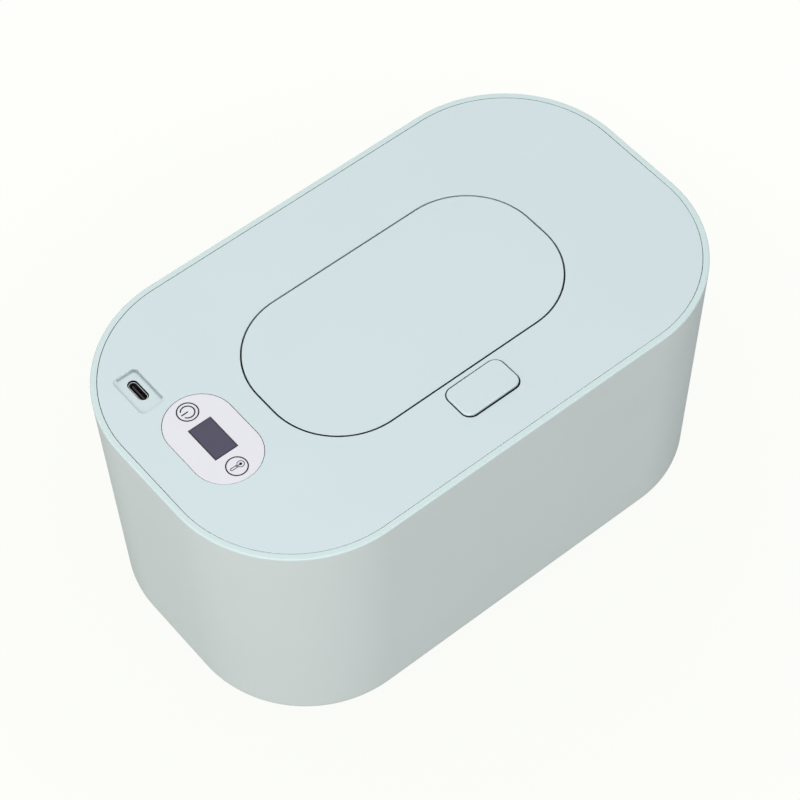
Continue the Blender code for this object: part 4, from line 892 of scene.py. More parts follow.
def smoked_window():
    """Smoked display lens with a darker printed border."""
    made = Finish("smoked_window")
    nodes = made.nodes
    middle = ((WINDOW_LOW.x + WINDOW_HIGH.x) / 2, (WINDOW_LOW.y + WINDOW_HIGH.y) / 2)
    glass_halves = (WINDOW_WIDTH / 2 - WINDOW_BORDER, WINDOW_LENGTH / 2 - WINDOW_BORDER)
    clouds = nodes.noise(GLASS_CLOUD_SIZE)
    glass = nodes.mix(clouds, *GLASS_TINTS)
    return made.set(
        base_color=nodes.mix(within(nodes, middle, glass_halves), GLASS_BORDER, glass),
        roughness=GLASS_ROUGHNESS[0] + GLASS_ROUGHNESS[1] * clouds,
        coat_weight=0.3,
        coat_roughness=0.12,
    )


def printed_ink():
    """Dark matt ink with a fine screen-printed grain."""
    made = Finish("printed_ink")
    nodes = made.nodes
    dots = nodes.noise(INK_DOT_SIZE)
    return made.set(
        base_color=nodes.mix(dots, *INK_TINTS),
        roughness=0.5,
        specular_ior_level=0.2,
        normal=nodes.bump(dots, INK_DOT_HEIGHT, strength=0.4),
    )


def lacquered_board():
    """Green board with copper tracks under the lacquer."""
    made = Finish("lacquered_board")
    nodes = made.nodes
    wobble = nodes.noise(BOARD_WOBBLE_SIZE, detail=1.0)
    across = nodes.place("X") / BOARD_LANE + BOARD_WOBBLE[0] * wobble
    along = nodes.place("Y") / BOARD_RUN + BOARD_WOBBLE[1] * wobble
    lane = nodes.add("ShaderNodeMath", {"operation": "FRACT"}, {0: across})
    run = nodes.add("ShaderNodeMath", {"operation": "FRACT"}, {0: along})
    track = (lane > BOARD_SHARES[0]) * (run > BOARD_SHARES[1])
    return made.set(
        base_color=nodes.mix(track, *BOARD_TINTS),
        roughness=0.32,
        coat_weight=0.4,
        normal=nodes.bump(track, BOARD_TRACK_HEIGHT, strength=0.6),
    )


def etched_film():
    """Orange film heater with its etched foil track."""
    made = Finish("etched_film")
    nodes = made.nodes
    inputs = {0: nodes.place("Y"), 1: FILM_PITCH}
    lane = nodes.add("ShaderNodeMath", {"operation": "PINGPONG"}, inputs)
    track = lane > FILM_GAP
    return made.set(
        base_color=nodes.mix(track, *FILM_TINTS),
        roughness=0.3,
        coat_weight=0.3,
        normal=nodes.bump(track, FILM_TRACK_HEIGHT, strength=0.5),
    )


def felt():
    """Grey felt with loose fibres."""
    made = Finish("felt")
    nodes = made.nodes
    fibres = nodes.noise(FIBRE_SIZE, detail=6.0, roughness=0.7)
    tufts = nodes.noise(TUFT_SIZE, detail=3.0)
    return made.set(
        base_color=nodes.mix(tufts, *FELT_TINTS),
        roughness=0.95,
        normal=nodes.bump(fibres, FIBRE_HEIGHT, strength=0.8),
    )


# Painted shade in the gaps of these four, and a painted highlight on the tub's rim
TUB_MINT = moulded_plastic("tub_mint", TUB_COLOUR, tub_openness, RIM_PAINTED_HIGHLIGHT, shine=0.0)
DECK_MINT = moulded_plastic("deck_mint", DECK_COLOUR, deck_openness)
LID_MINT = moulded_plastic("lid_mint", DECK_COLOUR, lid_openness)
BUTTON_MINT = moulded_plastic("button_mint", DECK_COLOUR, button_openness)
INNER_WHITE = plain_plastic("inner_white", (0.82, 0.84, 0.84))
SILICONE = soft_rubber("silicone", (0.60, 0.63, 0.64), 0.55)
FOOT_RUBBER = soft_rubber("foot_rubber", (0.05, 0.05, 0.055))
STEEL = metal("steel", (0.60, 0.60, 0.62))
# The contacts' gold is darkened to stand in for the shade inside the inlet: painted shade
GOLD_DARKENED_AS_SHADE = metal("contact_gold_darkened_as_shade", (0.20, 0.17, 0.10), 0.35)
SHEET_ALUMINIUM = metal("sheet_aluminium", (0.78, 0.79, 0.80), 0.34, ROLLED_ALONG_X)
BLACK_PLASTIC = plain_plastic("black_plastic", (0.012, 0.012, 0.014), 0.38)
NYLON = plain_plastic("nylon", (0.74, 0.72, 0.62))
RED_SLEEVE = plain_plastic("red_sleeve", (0.46, 0.02, 0.015))
BLACK_SLEEVE = plain_plastic("black_sleeve", (0.015, 0.015, 0.016))
WHITE_SLEEVE = plain_plastic("white_sleeve", (0.72, 0.72, 0.69))
OVERLAY = overlay_film()
WINDOW = smoked_window()
INK = printed_ink()
BOARD = lacquered_board()
FILM = etched_film()
FELT = felt()


def tub():
    """Open tub with its soft rim, the ledge for the cover, foot recesses and a bare label seat."""
    bottom = TUB_LOW.z

    def draft(z):
        return WALL_DRAFT * (DECK_TOP - z) / TUB_HEIGHT

    outer = arc((BASE_ROUND, bottom + BASE_ROUND), BASE_ROUND, 270, 180)
    outer += arc((RIM_ROUND, DECK_TOP - RIM_ROUND), RIM_ROUND, 180, 90)
    section = [(inset + draft(z), z) for inset, z in outer]
    small = RIM_INNER_ROUND
    section += arc((RIM_WIDTH - small, DECK_TOP - small), small, 90, 0, EDGE_STEPS // 2)
    ledge = DECK_TOP - LEDGE_DEPTH
    under = ledge - LEDGE_THICKNESS
    section.append((RIM_WIDTH, ledge))
    nose = LEDGE_ROUND
    section += arc((LEDGE_OPENING - nose, ledge - nose), nose, 90, 0, EDGE_STEPS // 2)
    section.append((LEDGE_OPENING, under))
    slope = under - LEDGE_OPENING
    section.append((draft(slope) + TUB_WALL, slope))
    floor = bottom + TUB_FLOOR
    for inset, z in arc((INNER_ROUND, floor + INNER_ROUND), INNER_ROUND, 180, 270):
        section.append((draft(z) + TUB_WALL + inset, z))
    body = layered("tub_shell", tub_outline, section)
    deep = DECK_TOP - bottom
    cuts = []
    for node in FOOT_NODES:
        low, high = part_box(node)
        radius = (high.x - low.x) / 2 + FIT
        outline = circle(radius, (low.x + high.x) / 2, (low.y + high.y) / 2)
        cuts.append(prism("foot_recess", outline, deep + OVERRUN, deep - FOOT_SEAT - FIT))
    length, width, corner = LABEL_SEAT
    outline = rounded(length, width, corner, SMALL_STEPS)
    cuts.append(prism("label_seat", outline, deep + OVERRUN, deep - LABEL_DEPTH))
    combine(body, cuts=cuts)
    finish(body, TUB_MINT, "box", ["box_body"])


def feet():
    """Rubber discs with a round edge and a shallow dish in the sole."""
    for node in FOOT_NODES:
        low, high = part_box(node)
        radius = (high.x - low.x) / 2
        dish = radius - FOOT_DISH
        profile = [(dish - FOOT_ROUND, FOOT_ROUND), (dish, FOOT_ROUND / 2), (dish + FOOT_ROUND, 0)]
        profile += arc((radius - FOOT_ROUND, FOOT_ROUND), FOOT_ROUND, 270, 360)
        profile.append((radius, high.z))
        place = ((low.x + high.x) / 2, (low.y + high.y) / 2, 0)
        finish(lathe(node + "_pad", profile, place), FOOT_RUBBER, "box", [node])


def hinge_lugs():
    """Solids of the lugs under the deck that carry the pin."""
    near = ARM_X - ARM_WIDTH / 2 - LUG_SPAN
    far = ARM_X + ARM_WIDTH / 2 + ARM_CLEARANCE
    y_range = (LID_WIDTH / 2 + LID_GAP + SINK, PIN_Y + LUG_REACH)
    lugs = []
    for side in (-1, 1):
        for start, end in ((near - LUG_THICKNESS, near), (far, far + LUG_THICKNESS)):
            depths = (PIN_DEPTH + LUG_DROP, DECK_THICKNESS - SINK)
            lugs.append(block("lug", (side * start, side * end), y_range, *depths, FIT))
    return lugs


def latch_rails():
    """Solids of the two rails that the latch slides in."""
    inner = LATCH_WIDTH / 2 + FIT
    outer = inner + RAIL_THICKNESS
    foot = LATCH_WIDTH / 2 - RAIL_THICKNESS
    low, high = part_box("latch_slide")
    run = (low.y + RAIL_THICKNESS, -BAY_Y - RAIL_THICKNESS)
    bottom = CATCH_DEPTH + RAIL_FOOT
    solids = []
    for side in (-1, 1):
        solids.append(block("rail", (side * inner, side * outer), run, bottom, DECK_THICKNESS - SINK))
        solids.append(block("rail_foot", (side * foot, side * (inner + SINK)), run, bottom, CATCH_DEPTH))
    return solids


def port_slot(length, width):
    """Outline of the inlet, long along Y."""
    return slot(width, length, SMALL_STEPS, PORT_X, PORT_Y)


def screw_places(prefix):
    """Middles of a group of packed screws, as (x, y)."""
    places = []
    for number in range(1, SCREWS[prefix][0] + 1):
        low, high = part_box(f"{prefix}{number}")
        places.append(((low.x + high.x) / 2, (low.y + high.y) / 2))
    return places


def boss_and_pilot(prefix, radius, x, y, end, seat):
    """Solids of a round boss down to its end, and of the pilot hole for its screw."""
    count, shank, head, length = SCREWS[prefix]
    boss = prism("boss", circle(radius, x, y, ROUND_SIDES // 2), end, seat)
    hole = circle(shank + PILOT_PLAY, x, y, ROUND_SIDES // 2)
    return boss, prism("pilot", hole, end + OVERRUN, end - length - PILOT_SPARE)


def deck_bosses(bay_end, seat):
    """Screw bosses under the deck, and the cutters of their pilot holes."""
    bosses = []
    pilots = []
    groups = (("cover_screw_", COVER_BOSS, bay_end), ("board_screw_", BOARD_BOSS, BOARD_DEPTH - FIT))
    for prefix, radius, end in groups:
        for x, y in screw_places(prefix):
            boss, pilot = boss_and_pilot(prefix, radius, x, y, end, seat)
            bosses.append(boss)
            pilots.append(pilot)
    return bosses, pilots


def spring_stop(seat):
    """Solid under the deck that the latch's spring pushes on."""
    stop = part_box("latch_spring")[0].y - LATCH_SPRING_WIRE
    half = SPRING_STOP_WIDTH / 2
    y_range = (stop - SPRING_STOP, stop)
    return block("spring_stop", (-half, half), y_range, CATCH_DEPTH + RAIL_FOOT, seat)


def recess_outline(margin):
    size = (RECESS_WIDTH + 2 * margin, RECESS_LENGTH + 2 * margin)
    return rounded(*size, RECESS_CORNER + margin, SMALL_STEPS, RECESS_X, RECESS_Y)


def lid_hole(margin):
    return lid_outline(-LID_GAP - margin)


def button_hole(margin):
    length = CAP_LENGTH + 2 * (BUTTON_SIDE_GAP + margin)
    width = CAP_WIDTH + BUTTON_FRONT_GAP + BUTTON_BACK_GAP + 2 * margin
    corner = BUTTON_CORNER + BUTTON_SIDE_GAP + margin
    middle = CAP_Y + (BUTTON_BACK_GAP - BUTTON_FRONT_GAP) / 2
    return rounded(length, width, corner, SMALL_STEPS, CAP_X, middle)


def panel_pocket(margin):
    grow = 2 * (PANEL_GAP + margin)
    return slot(PANEL_WIDTH + grow, PANEL_LENGTH + grow, CORNER_STEPS, PANEL_X, 0)


def soft_openings(bay_end):
    """Cutters of the openings in the deck's top, whose edges are softened."""
    return [
        opening("lid_opening", lid_hole, bay_end + OVERRUN),
        opening("button_opening", button_hole, DECK_THICKNESS + OVERRUN),
        opening("port_recess", recess_outline, RECESS_DEPTH, RECESS_EDGE, RECESS_FILLET),
        opening("panel_pocket", panel_pocket, PANEL_THICKNESS + FIT, PANEL_EDGE),
    ]


def hidden_holes(bay_end):
    """Cutters under the panel and in the inlet, and those for the pin, the arms and the latch's nose."""
    x_range = (WINDOW_LOW.x + WINDOW_LEDGE, WINDOW_HIGH.x - WINDOW_LEDGE)
    y_range = (WINDOW_LOW.y + WINDOW_LEDGE, WINDOW_HIGH.y - WINDOW_LEDGE)
    cuts = [block("display_hole", x_range, y_range, DECK_THICKNESS + OVERRUN, PANEL_THICKNESS)]
    length = PORT_HIGH.y - PORT_LOW.y + 2 * PORT_MARGIN
    width = PORT_HIGH.x - PORT_LOW.x + 2 * PORT_MARGIN
    depths = (RECESS_DEPTH + RECESS_FLOOR + OVERRUN, RECESS_DEPTH - SINK)
    cuts.append(prism("port_hole", port_slot(length, width), *depths))
    reach = PIN_HIGH.x + OVERRUN
    cuts.append(rod("pin_hole", PIN_RADIUS + PIN_PLAY, (-reach, reach), PIN_Y, PIN_DEPTH))
    half = ARM_WIDTH / 2 + ARM_CLEARANCE
    y_range = (LID_WIDTH / 2 - BAY_WALL, BAY_Y + SINK)
    for side in (-1, 1):
        across = (side * ARM_X - half, side * ARM_X + half)
        cuts.append(block("arm_notch", across, y_range, bay_end + OVERRUN, DECK_THICKNESS))
    half = NOSE_WIDTH / 2 + ARM_CLEARANCE
    y_range = (-BAY_Y - SINK, -BAY_Y + BAY_WALL + SINK)
    depths = (CATCH_DEPTH + ARM_CLEARANCE, LATCH_DEPTH - ARM_CLEARANCE)
    cuts.append(block("nose_window", (-half, half), y_range, *depths))
    return cuts


def deck():
    """Deck of the lift-off cover, with its skirt, the lid's bay and all that it carries below."""
    edge = RIM_WIDTH + SEAM
    inside = edge + SKIRT_WALL
    low = DECK_TOP - SKIRT_DEPTH
    section = [(inside, DECK_TOP - DECK_THICKNESS), (inside, low), (edge, low)]
    section += arc((edge + DECK_ROUND, DECK_TOP - DECK_ROUND), DECK_ROUND, 180, 90)
    shell = layered("deck_shell", tub_outline, section)

    seat = DECK_THICKNESS - SINK
    bay_end = TRAY_DEPTH - FIT
    adds = [prism("bay", lid_outline(-BAY_OUTER), bay_end, seat)]
    adds += hinge_lugs()
    adds += latch_rails()
    bosses, pilots = deck_bosses(bay_end, seat)
    adds += bosses
    adds.append(spring_stop(seat))
    adds.append(prism("port_block", recess_outline(RECESS_FLOOR), RECESS_DEPTH + RECESS_FLOOR, seat))
    combine(shell, adds, pilots + soft_openings(bay_end) + hidden_holes(bay_end))
    finish(shell, DECK_MINT, "cover", ["top_cover"])


def tray_outline(inset):
    return tub_outline(LEDGE_OPENING + TRAY_CLEARANCE + inset)


def well_outline(inset):
    return slot(WELL_LENGTH - 2 * inset, WELL_WIDTH - 2 * inset)


def aperture_outline(inset):
    return slot(APERTURE_LENGTH - 2 * inset, APERTURE_WIDTH - 2 * inset)


def heat_outline(margin):
    return rounded(PLATE_LENGTH + 2 * margin, PLATE_WIDTH + 2 * margin, PLATE_CORNER + margin)


def well_and_frame(plate_depth):
    """Solids of the well, of the wipes' collar under it, and of the frame round the heat plate."""
    lip = WELL_WALL / 3
    well = [(0, DECK_TOP - TRAY_DEPTH - SINK)]
    well += arc((lip, DECK_TOP - WELL_TOP - lip), lip, 180, 90, EDGE_STEPS // 2)

    def frame_outer(inset):
        return heat_outline(FIT + HEATER_FRAME_WALL - inset)

    def frame_inner(inset):
        return heat_outline(FIT - inset)

    seat = TRAY_BOTTOM - SINK
    return [
        layered("well", well_outline, well),
        prism("collar", aperture_outline(-COLLAR_WALL), plate_depth, seat),
        ring("heater_frame", frame_outer, frame_inner, plate_depth, seat),
    ]


def well_inside(plate_depth):
    """Cutters of the well's inside and of the mouth below it, with soft edges."""
    lip = WELL_WALL / 3
    floor = DECK_TOP - TRAY_DEPTH
    well = arc((WELL_WALL + lip, floor + lip), lip, 270, 180)
    well += [(WELL_WALL, DECK_TOP - WELL_TOP - lip)]
    for inset, z in arc((WELL_WALL - lip, DECK_TOP - WELL_TOP - lip), lip, 0, 90, EDGE_STEPS // 2):
        well.append((inset, z + SKIM))
    well.append((WELL_WALL - lip, DECK_TOP - WELL_TOP + OVERRUN))
    edge = TRAY_FLOOR / 2
    mouth = [(0, DECK_TOP - plate_depth - OVERRUN), (0, floor - edge)]
    mouth += [(inset, z + SKIM) for inset, z in arc((-edge, floor - edge), edge, 0, 90)]
    mouth.append((-edge, floor + OVERRUN / 2))
    return [layered("well_inside", well_outline, well), layered("mouth", aperture_outline, mouth)]


def tray():
    """White tray with the well under the lid and the softened opening for the wipes."""
    base = DECK_TOP - TRAY_BOTTOM
    soft = TRAY_FLOOR / 2
    section = arc((soft, base + soft), soft, 270, 180)
    section += [(0, TRAY_RIM), (TRAY_WALL, TRAY_RIM), (TRAY_WALL, DECK_TOP - TRAY_DEPTH)]
    body = layered("tray_shell", tray_outline, section)

    plate_low, plate_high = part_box("heat_plate")
    plate_depth = DECK_TOP - plate_low.z
    adds = well_and_frame(plate_depth)
    cuts = well_inside(plate_depth)
    for x, y in screw_places("cover_screw_"):
        outline = circle(SCREWS["cover_screw_"][1] + PILOT_PLAY, x, y, ROUND_SIDES // 2)
        cuts.append(prism("screw_hole", outline, TRAY_BOTTOM + OVERRUN, TRAY_DEPTH - OVERRUN))
    for x, y in screw_places("heat_plate_screw_"):
        end = DECK_TOP - plate_high.z - FIT
        boss, pilot = boss_and_pilot("heat_plate_screw_", HEAT_BOSS, x, y, end, TRAY_BOTTOM - SINK)
        adds.append(boss)
        cuts.append(pilot)
    low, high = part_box("wire_grommet")
    radius = (high.x - low.x) / 2 - OVERRUN / 2 - SINK
    outline = circle(radius, (low.x + high.x) / 2, (low.y + high.y) / 2)
    cuts.append(prism("wire_hole", outline, TRAY_BOTTOM + OVERRUN, TRAY_DEPTH - OVERRUN))
    combine(body, adds, cuts)
    finish(body, INNER_WHITE, "cover", ["under_cover"])


def seals():
    """Silicone rings: one between the cover and the tub's ledge, one under the lid."""
    low = LEDGE_DEPTH - FIT
    outer = RIM_WIDTH + FIT

    def outside(inset):
        return tub_outline(outer + inset)

    def inside(inset):
        return tub_outline(outer + SEAL_WIDTH + inset)

    big = ring("cover_gasket", outside, inside, low, low - SEAL_HEIGHT, SINK)
    finish(big, SILICONE, "cover", ["cover_seal"])

    half = LID_SEAL_WIDTH / 2
    middle = WELL_WALL / 2

    def lid_outside(inset):
        return well_outline(middle - half + inset)

    def lid_inside(inset):
        return well_outline(middle + half + inset)

    small = ring("lid_gasket", lid_outside, lid_inside, LID_SEAL_TOP + LID_SEAL_HEIGHT, LID_SEAL_TOP, SINK)
    finish(small, SILICONE, "flip_lid", ["lid_seal"])


def arm_profile():
    """Side view of a lid arm as (y, depth), with the corners of its crank rounded."""
    half = NECK_THICKNESS / 2
    low = PIN_DEPTH + NECK_DROP
    front = PIN_Y - NECK_REACH
    start = math.degrees(math.asin(half / EYE_RADIUS))
    eye = arc((0, 0), EYE_RADIUS, start, 360 - start, ROUND_SIDES)
    points = [(PIN_Y + b, PIN_DEPTH + a) for a, b in eye]
    inner = half
    points += arc((PIN_Y - half - inner, low - half - inner), inner, 0, 90)
    points += arc((front + half + inner, low - half - inner), inner, 90, 180)
    points += [(front + half, LINER_TOP), (front - half, LINER_TOP)]
    points += arc((front + half, low - half), NECK_THICKNESS, 180, 90)
    points += arc((PIN_Y - half, low - half), NECK_THICKNESS, 90, 0)
    return points


def lid():
    """Lid shell, and the liner under it with its hinge arms and catch."""
    low = DECK_TOP - DECK_THICKNESS
    section = [(LID_DRAFT + LID_ROUND, low), (LID_DRAFT, low + LID_ROUND)]
    section += arc((LID_ROUND, DECK_TOP - LID_ROUND), LID_ROUND, 180, 90)
    finish(layered("lid_top", lid_outline, section), LID_MINT, "flip_lid", ["lid_shell"])

    def liner_outline(inset):
        return lid_outline(LINER_INSET + inset)

    liner = soft_prism("lid_liner", liner_outline, LINER_BOTTOM, LINER_TOP, LINER_ROUND)
    adds = []
    for side in (-1, 1):
        edges = (side * ARM_X - ARM_WIDTH / 2, side * ARM_X + ARM_WIDTH / 2)
        adds.append(side_prism("lid_arm", arm_profile(), edges, FIT))
    front = -LID_WIDTH / 2 + CATCH_SETBACK
    tab_front = front + CATCH_LIP
    tab_back = tab_front + CATCH_TAB
    bottom = CATCH_DEPTH + CATCH_TAB
    slope = CATCH_TAB / 2
    hook = [
        (tab_back, LINER_BOTTOM - SINK),
        (tab_front, LINER_BOTTOM - SINK),
        (tab_front, CATCH_DEPTH),
        (front, CATCH_DEPTH),
        (front, CATCH_DEPTH + slope),
        (front + slope, bottom),
        (tab_back, bottom),
    ]
    adds.append(side_prism("catch", hook, (-CATCH_WIDTH / 2, CATCH_WIDTH / 2), FIT))
    reach = ARM_X + ARM_WIDTH
    cuts = [rod("eye_hole", PIN_RADIUS + PIN_PLAY, (-reach, reach), PIN_Y, PIN_DEPTH)]
    combine(liner, adds, cuts)
    finish(liner, INNER_WHITE, "flip_lid", ["lid_inner"])


def coil(name, places, wire, body, node):
    """Round wire spring through its points, in the place of a node."""
    curve = bpy.data.curves.new(name, "CURVE")
    curve.dimensions = "3D"
    curve.bevel_depth = wire
    curve.bevel_resolution = WIRE_STEPS
    curve.use_fill_caps = True
    spline = curve.splines.new("POLY")
    spline.points.add(len(places) - 1)
    for point, place in zip(spline.points, places):
        point.co = (*place, 1)
    curve.materials.append(STEEL)
    obj = bpy.data.objects.new(name, curve)
    bpy.context.scene.collection.objects.link(obj)
    graph = bpy.context.evaluated_depsgraph_get()
    mesh = bpy.data.meshes.new_from_object(obj.evaluated_get(graph), depsgraph=graph)
    bpy.data.objects.remove(obj)
    mesh.shade_smooth()
    obj = bpy.data.objects.new(name, mesh)
    bpy.context.scene.collection.objects.link(obj)
    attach(obj, body)
    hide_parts(node)
    return obj


def helix(start, end, radius, turns):
    """Points of a compression spring."""
    along = Vector(end) - Vector(start)
    turn = along.to_track_quat("Z", "Y").to_matrix()
    points = []
    total = turns * COIL_STEPS
    for step in range(total + 1):
        angle = 2 * math.pi * step / COIL_STEPS
        across = turn @ Vector((radius * math.cos(angle), radius * math.sin(angle), 0))
        points.append(Vector(start) + along * step / total + across)
    return points


def key_springs():
    """Springs between the touch keys and the board."""
    for node in ("touch_spring_power", "touch_spring_temperature"):
        low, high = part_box(node)
        x = (low.x + high.x) / 2
        y = (low.y + high.y) / 2
        wire = KEY_SPRING_WIRE
        radius = (high.x - low.x) / 2 - wire
        places = helix((x, y, low.z + wire), (x, y, high.z - wire), radius, SPRING_TURNS)
        coil(node + "_wire", places, wire, "cover", node)


def latch_spring():
    """Compression spring from its stop to the latch."""
    low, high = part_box("latch_spring")
    wire = LATCH_SPRING_WIRE
    z = (low.z + high.z) / 2
    radius = (high.x - low.x) / 2 - wire
    places = helix((0, low.y + wire, z), (0, high.y - wire, z), radius, SPRING_TURNS)
    spring = coil("latch_spring_wire", places, wire, "cover", "latch_spring")
    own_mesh(spring)


def lid_spring():
    """Torsion spring on the pin, with one leg down behind the pin and one under the lid's arm."""
    wire = LID_SPRING_WIRE
    radius = LID_SPRING_RADIUS
    last = ARM_X - ARM_WIDTH / 2 - wire - FIT
    first = last - LID_SPRING_TURNS * LID_SPRING_PITCH
    axis_z = DECK_TOP - PIN_DEPTH
    places = [(first, PIN_Y + radius, axis_z - LID_SPRING_REST)]
    total = LID_SPRING_TURNS * COIL_STEPS
    for step in range(total + COIL_STEPS // 2 + 1):
        angle = 2 * math.pi * step / COIL_STEPS
        x = first + (last - first) * min(1.0, step / total)
        places.append((x, PIN_Y + radius * math.cos(angle), axis_z + radius * math.sin(angle)))
    tail_z = axis_z - NECK_DROP - NECK_THICKNESS / 2 - wire - FIT
    tail_y = PIN_Y - radius - LID_SPRING_TAIL
    places += [(last, tail_y, tail_z), (last + LID_SPRING_HOOK, tail_y, tail_z)]
    coil("lid_spring_wire", places, wire, "cover", "lid_spring")


def hinge_pin():
    pin = rod("hinge_pin_rod", PIN_RADIUS, (PIN_LOW.x, PIN_HIGH.x), PIN_Y, PIN_DEPTH, FIT)
    finish(pin, STEEL, "cover", ["hinge_pin"])


def button():
    """Hollow cap with a sloping top, soft edges, two stops and its cam."""
    front = CAP_Y - CAP_WIDTH / 2
    right = CAP_X + CAP_LENGTH / 2

    def rise(x, y):
        slope = (BUTTON_BACK_RISE - BUTTON_RISE) * (y - front) / CAP_WIDTH
        return BUTTON_RISE + slope - BUTTON_TILT * (right - x) / CAP_LENGTH

    def layer(inset, height, follow):
        length = CAP_LENGTH - 2 * inset
        width = CAP_WIDTH - 2 * inset
        outline = rounded(length, width, BUTTON_CORNER - inset, SMALL_STEPS, CAP_X, CAP_Y)
        return [(x, y, DECK_TOP + height + follow * rise(x, y)) for x, y in outline]

    rings = [
        layer(BUTTON_WALL, -BUTTON_TOP, 0),
        layer(BUTTON_WALL, -BUTTON_SKIRT, 0),
        layer(0, -BUTTON_SKIRT, 0),
    ]
    for inset, height in arc((BUTTON_ROUND, -BUTTON_ROUND), BUTTON_ROUND, 180, 90, EDGE_STEPS + 2):
        rings.append(layer(inset, height, 1))
    cap = loft("button_cap", rings)
    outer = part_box("release_button")[1].x
    inner = BUTTON_LENGTH / 2 - BUTTON_WALL / 2
    top = DECK_THICKNESS + FIT
    y_range = (BUTTON_Y - BUTTON_STOP_WIDTH / 2, BUTTON_Y + BUTTON_STOP_WIDTH / 2)
    depths = (top + BUTTON_STOP_THICKNESS, top)
    adds = [block("stop", (side * inner, side * outer), y_range, *depths) for side in (-1, 1)]
    plane = BUTTON_Y - CAM_LENGTH - RAMP_FLAT - CAM_TOP / 2 + FIT * math.sqrt(2)
    tip = CAM_TOP + CAM_BITE
    face = CAM_TOP - CAM_BITE
    back = plane + tip + CAM_BACK
    wedge = [(plane + tip, tip), (plane + face, face), (plane + face, BUTTON_TOP - SINK)]
    wedge += [(back, BUTTON_TOP - SINK), (back, tip)]
    adds.append(side_prism("cam", wedge, (-CAM_WIDTH / 2, CAM_WIDTH / 2)))
    combine(cap, adds)
    finish(cap, BUTTON_MINT, "button", ["release_button"])


def ribbon(name, places, width):
    """Flat printed line of a width through (x, y) points, with round ends, on the overlay."""
    left, right = [], []
    half = width / 2
    for i, (x, y) in enumerate(places):
        ahead = Vector(places[min(i + 1, len(places) - 1)])
        behind = Vector(places[max(i - 1, 0)])
        along = (ahead - behind).normalized()
        left.append((x - along.y * half, y + along.x * half))
        right.append((x + along.y * half, y - along.x * half))
    outline = left + line_end(places[-1], places[-2], half)
    outline += right[::-1] + line_end(places[0], places[1], half)
    return printed(name, outline)


def line_end(end, before, half):
    """Points round the end of a printed line."""
    heading = math.degrees(math.atan2(end[1] - before[1], end[0] - before[0]))
    return arc(end, half, heading + LINE_END_ANGLE, heading - LINE_END_ANGLE)


def printed(name, outline):
    """A thin layer of ink on the overlay."""
    ink = prism(name, outline, 0, -PRINT)
    return finish(ink, INK, "cover")


def printed_ring(name, outer, inner):
    ink = ring(name, lambda inset: outer, lambda inset: inner, 0, -PRINT)
    return finish(ink, INK, "cover")


def symbols():
    """Power and temperature signs in their key rings, drawn as plain lines."""
    x, y = PANEL_X + POWER_KEY[0], POWER_KEY[1]
    printed_ring("power_key_ring", circle(KEY_RING, x, y), circle(KEY_RING - KEY_LINE, x, y))
    ends = (180 + POWER_OPENING, 540 - POWER_OPENING)
    ribbon("power_loop", arc((x, y), POWER_LOOP, *ends, ROUND_SIDES), KEY_LINE)
    ribbon("power_bar", [(x + reach, y) for reach in POWER_BAR], KEY_LINE)

    x, y = PANEL_X + WARMTH_KEY[0], WARMTH_KEY[1]
    printed_ring("temperature_key_ring", circle(KEY_RING, x, y), circle(KEY_RING - KEY_LINE, x, y))

    def thermometer(inset):
        radius = BULB_RADIUS - inset
        half = STEM_RADIUS - inset
        turn = math.degrees(math.asin(half / radius))
        points = arc((x + BULB_X, y), radius, 180 + turn, 540 - turn, ROUND_SIDES // 2)
        return points + arc((x + STEM_TIP + STEM_RADIUS, y), half, 90, 270)

    printed_ring("thermometer_outline", thermometer(0), thermometer(GLASS_LINE))
    printed("thermometer_bulb", circle(MERCURY_RADIUS, x + BULB_X, y, ROUND_SIDES // 2))
    column_end = BULB_X + MERCURY_SHARE * (STEM_TIP - BULB_X)
    ribbon("thermometer_column", [(x + BULB_X, y), (x + column_end, y)], MERCURY_LINE)


def control_panel():
    """Overlay film with softened edges, its window, and the printed signs."""

    def outline(inset):
        return slot(PANEL_WIDTH - 2 * inset, PANEL_LENGTH - 2 * inset, CORNER_STEPS, PANEL_X, 0)

    soft = PANEL_EDGE
    section = [(0, PANEL_LOW.z)] + arc((soft, DECK_TOP - soft), soft, 180, 90, EDGE_STEPS // 2)
    film = layered("overlay_sheet", outline, section)
    margin = FIT / 2
    x_range = (WINDOW_LOW.x - margin, WINDOW_HIGH.x + margin)
    y_range = (WINDOW_LOW.y - margin, WINDOW_HIGH.y + margin)
    combine(film, cuts=[block("window_hole", x_range, y_range, PANEL_THICKNESS + OVERRUN, -OVERRUN)])
    finish(film, OVERLAY, "cover", ["control_overlay"])
    x_range = (WINDOW_LOW.x, WINDOW_HIGH.x)
    y_range = (WINDOW_LOW.y, WINDOW_HIGH.y)
    lens = block("window_lens", x_range, y_range, PANEL_THICKNESS, 0, WINDOW_EDGE)
    finish(lens, WINDOW, "cover", ["display_window"])
    symbols()


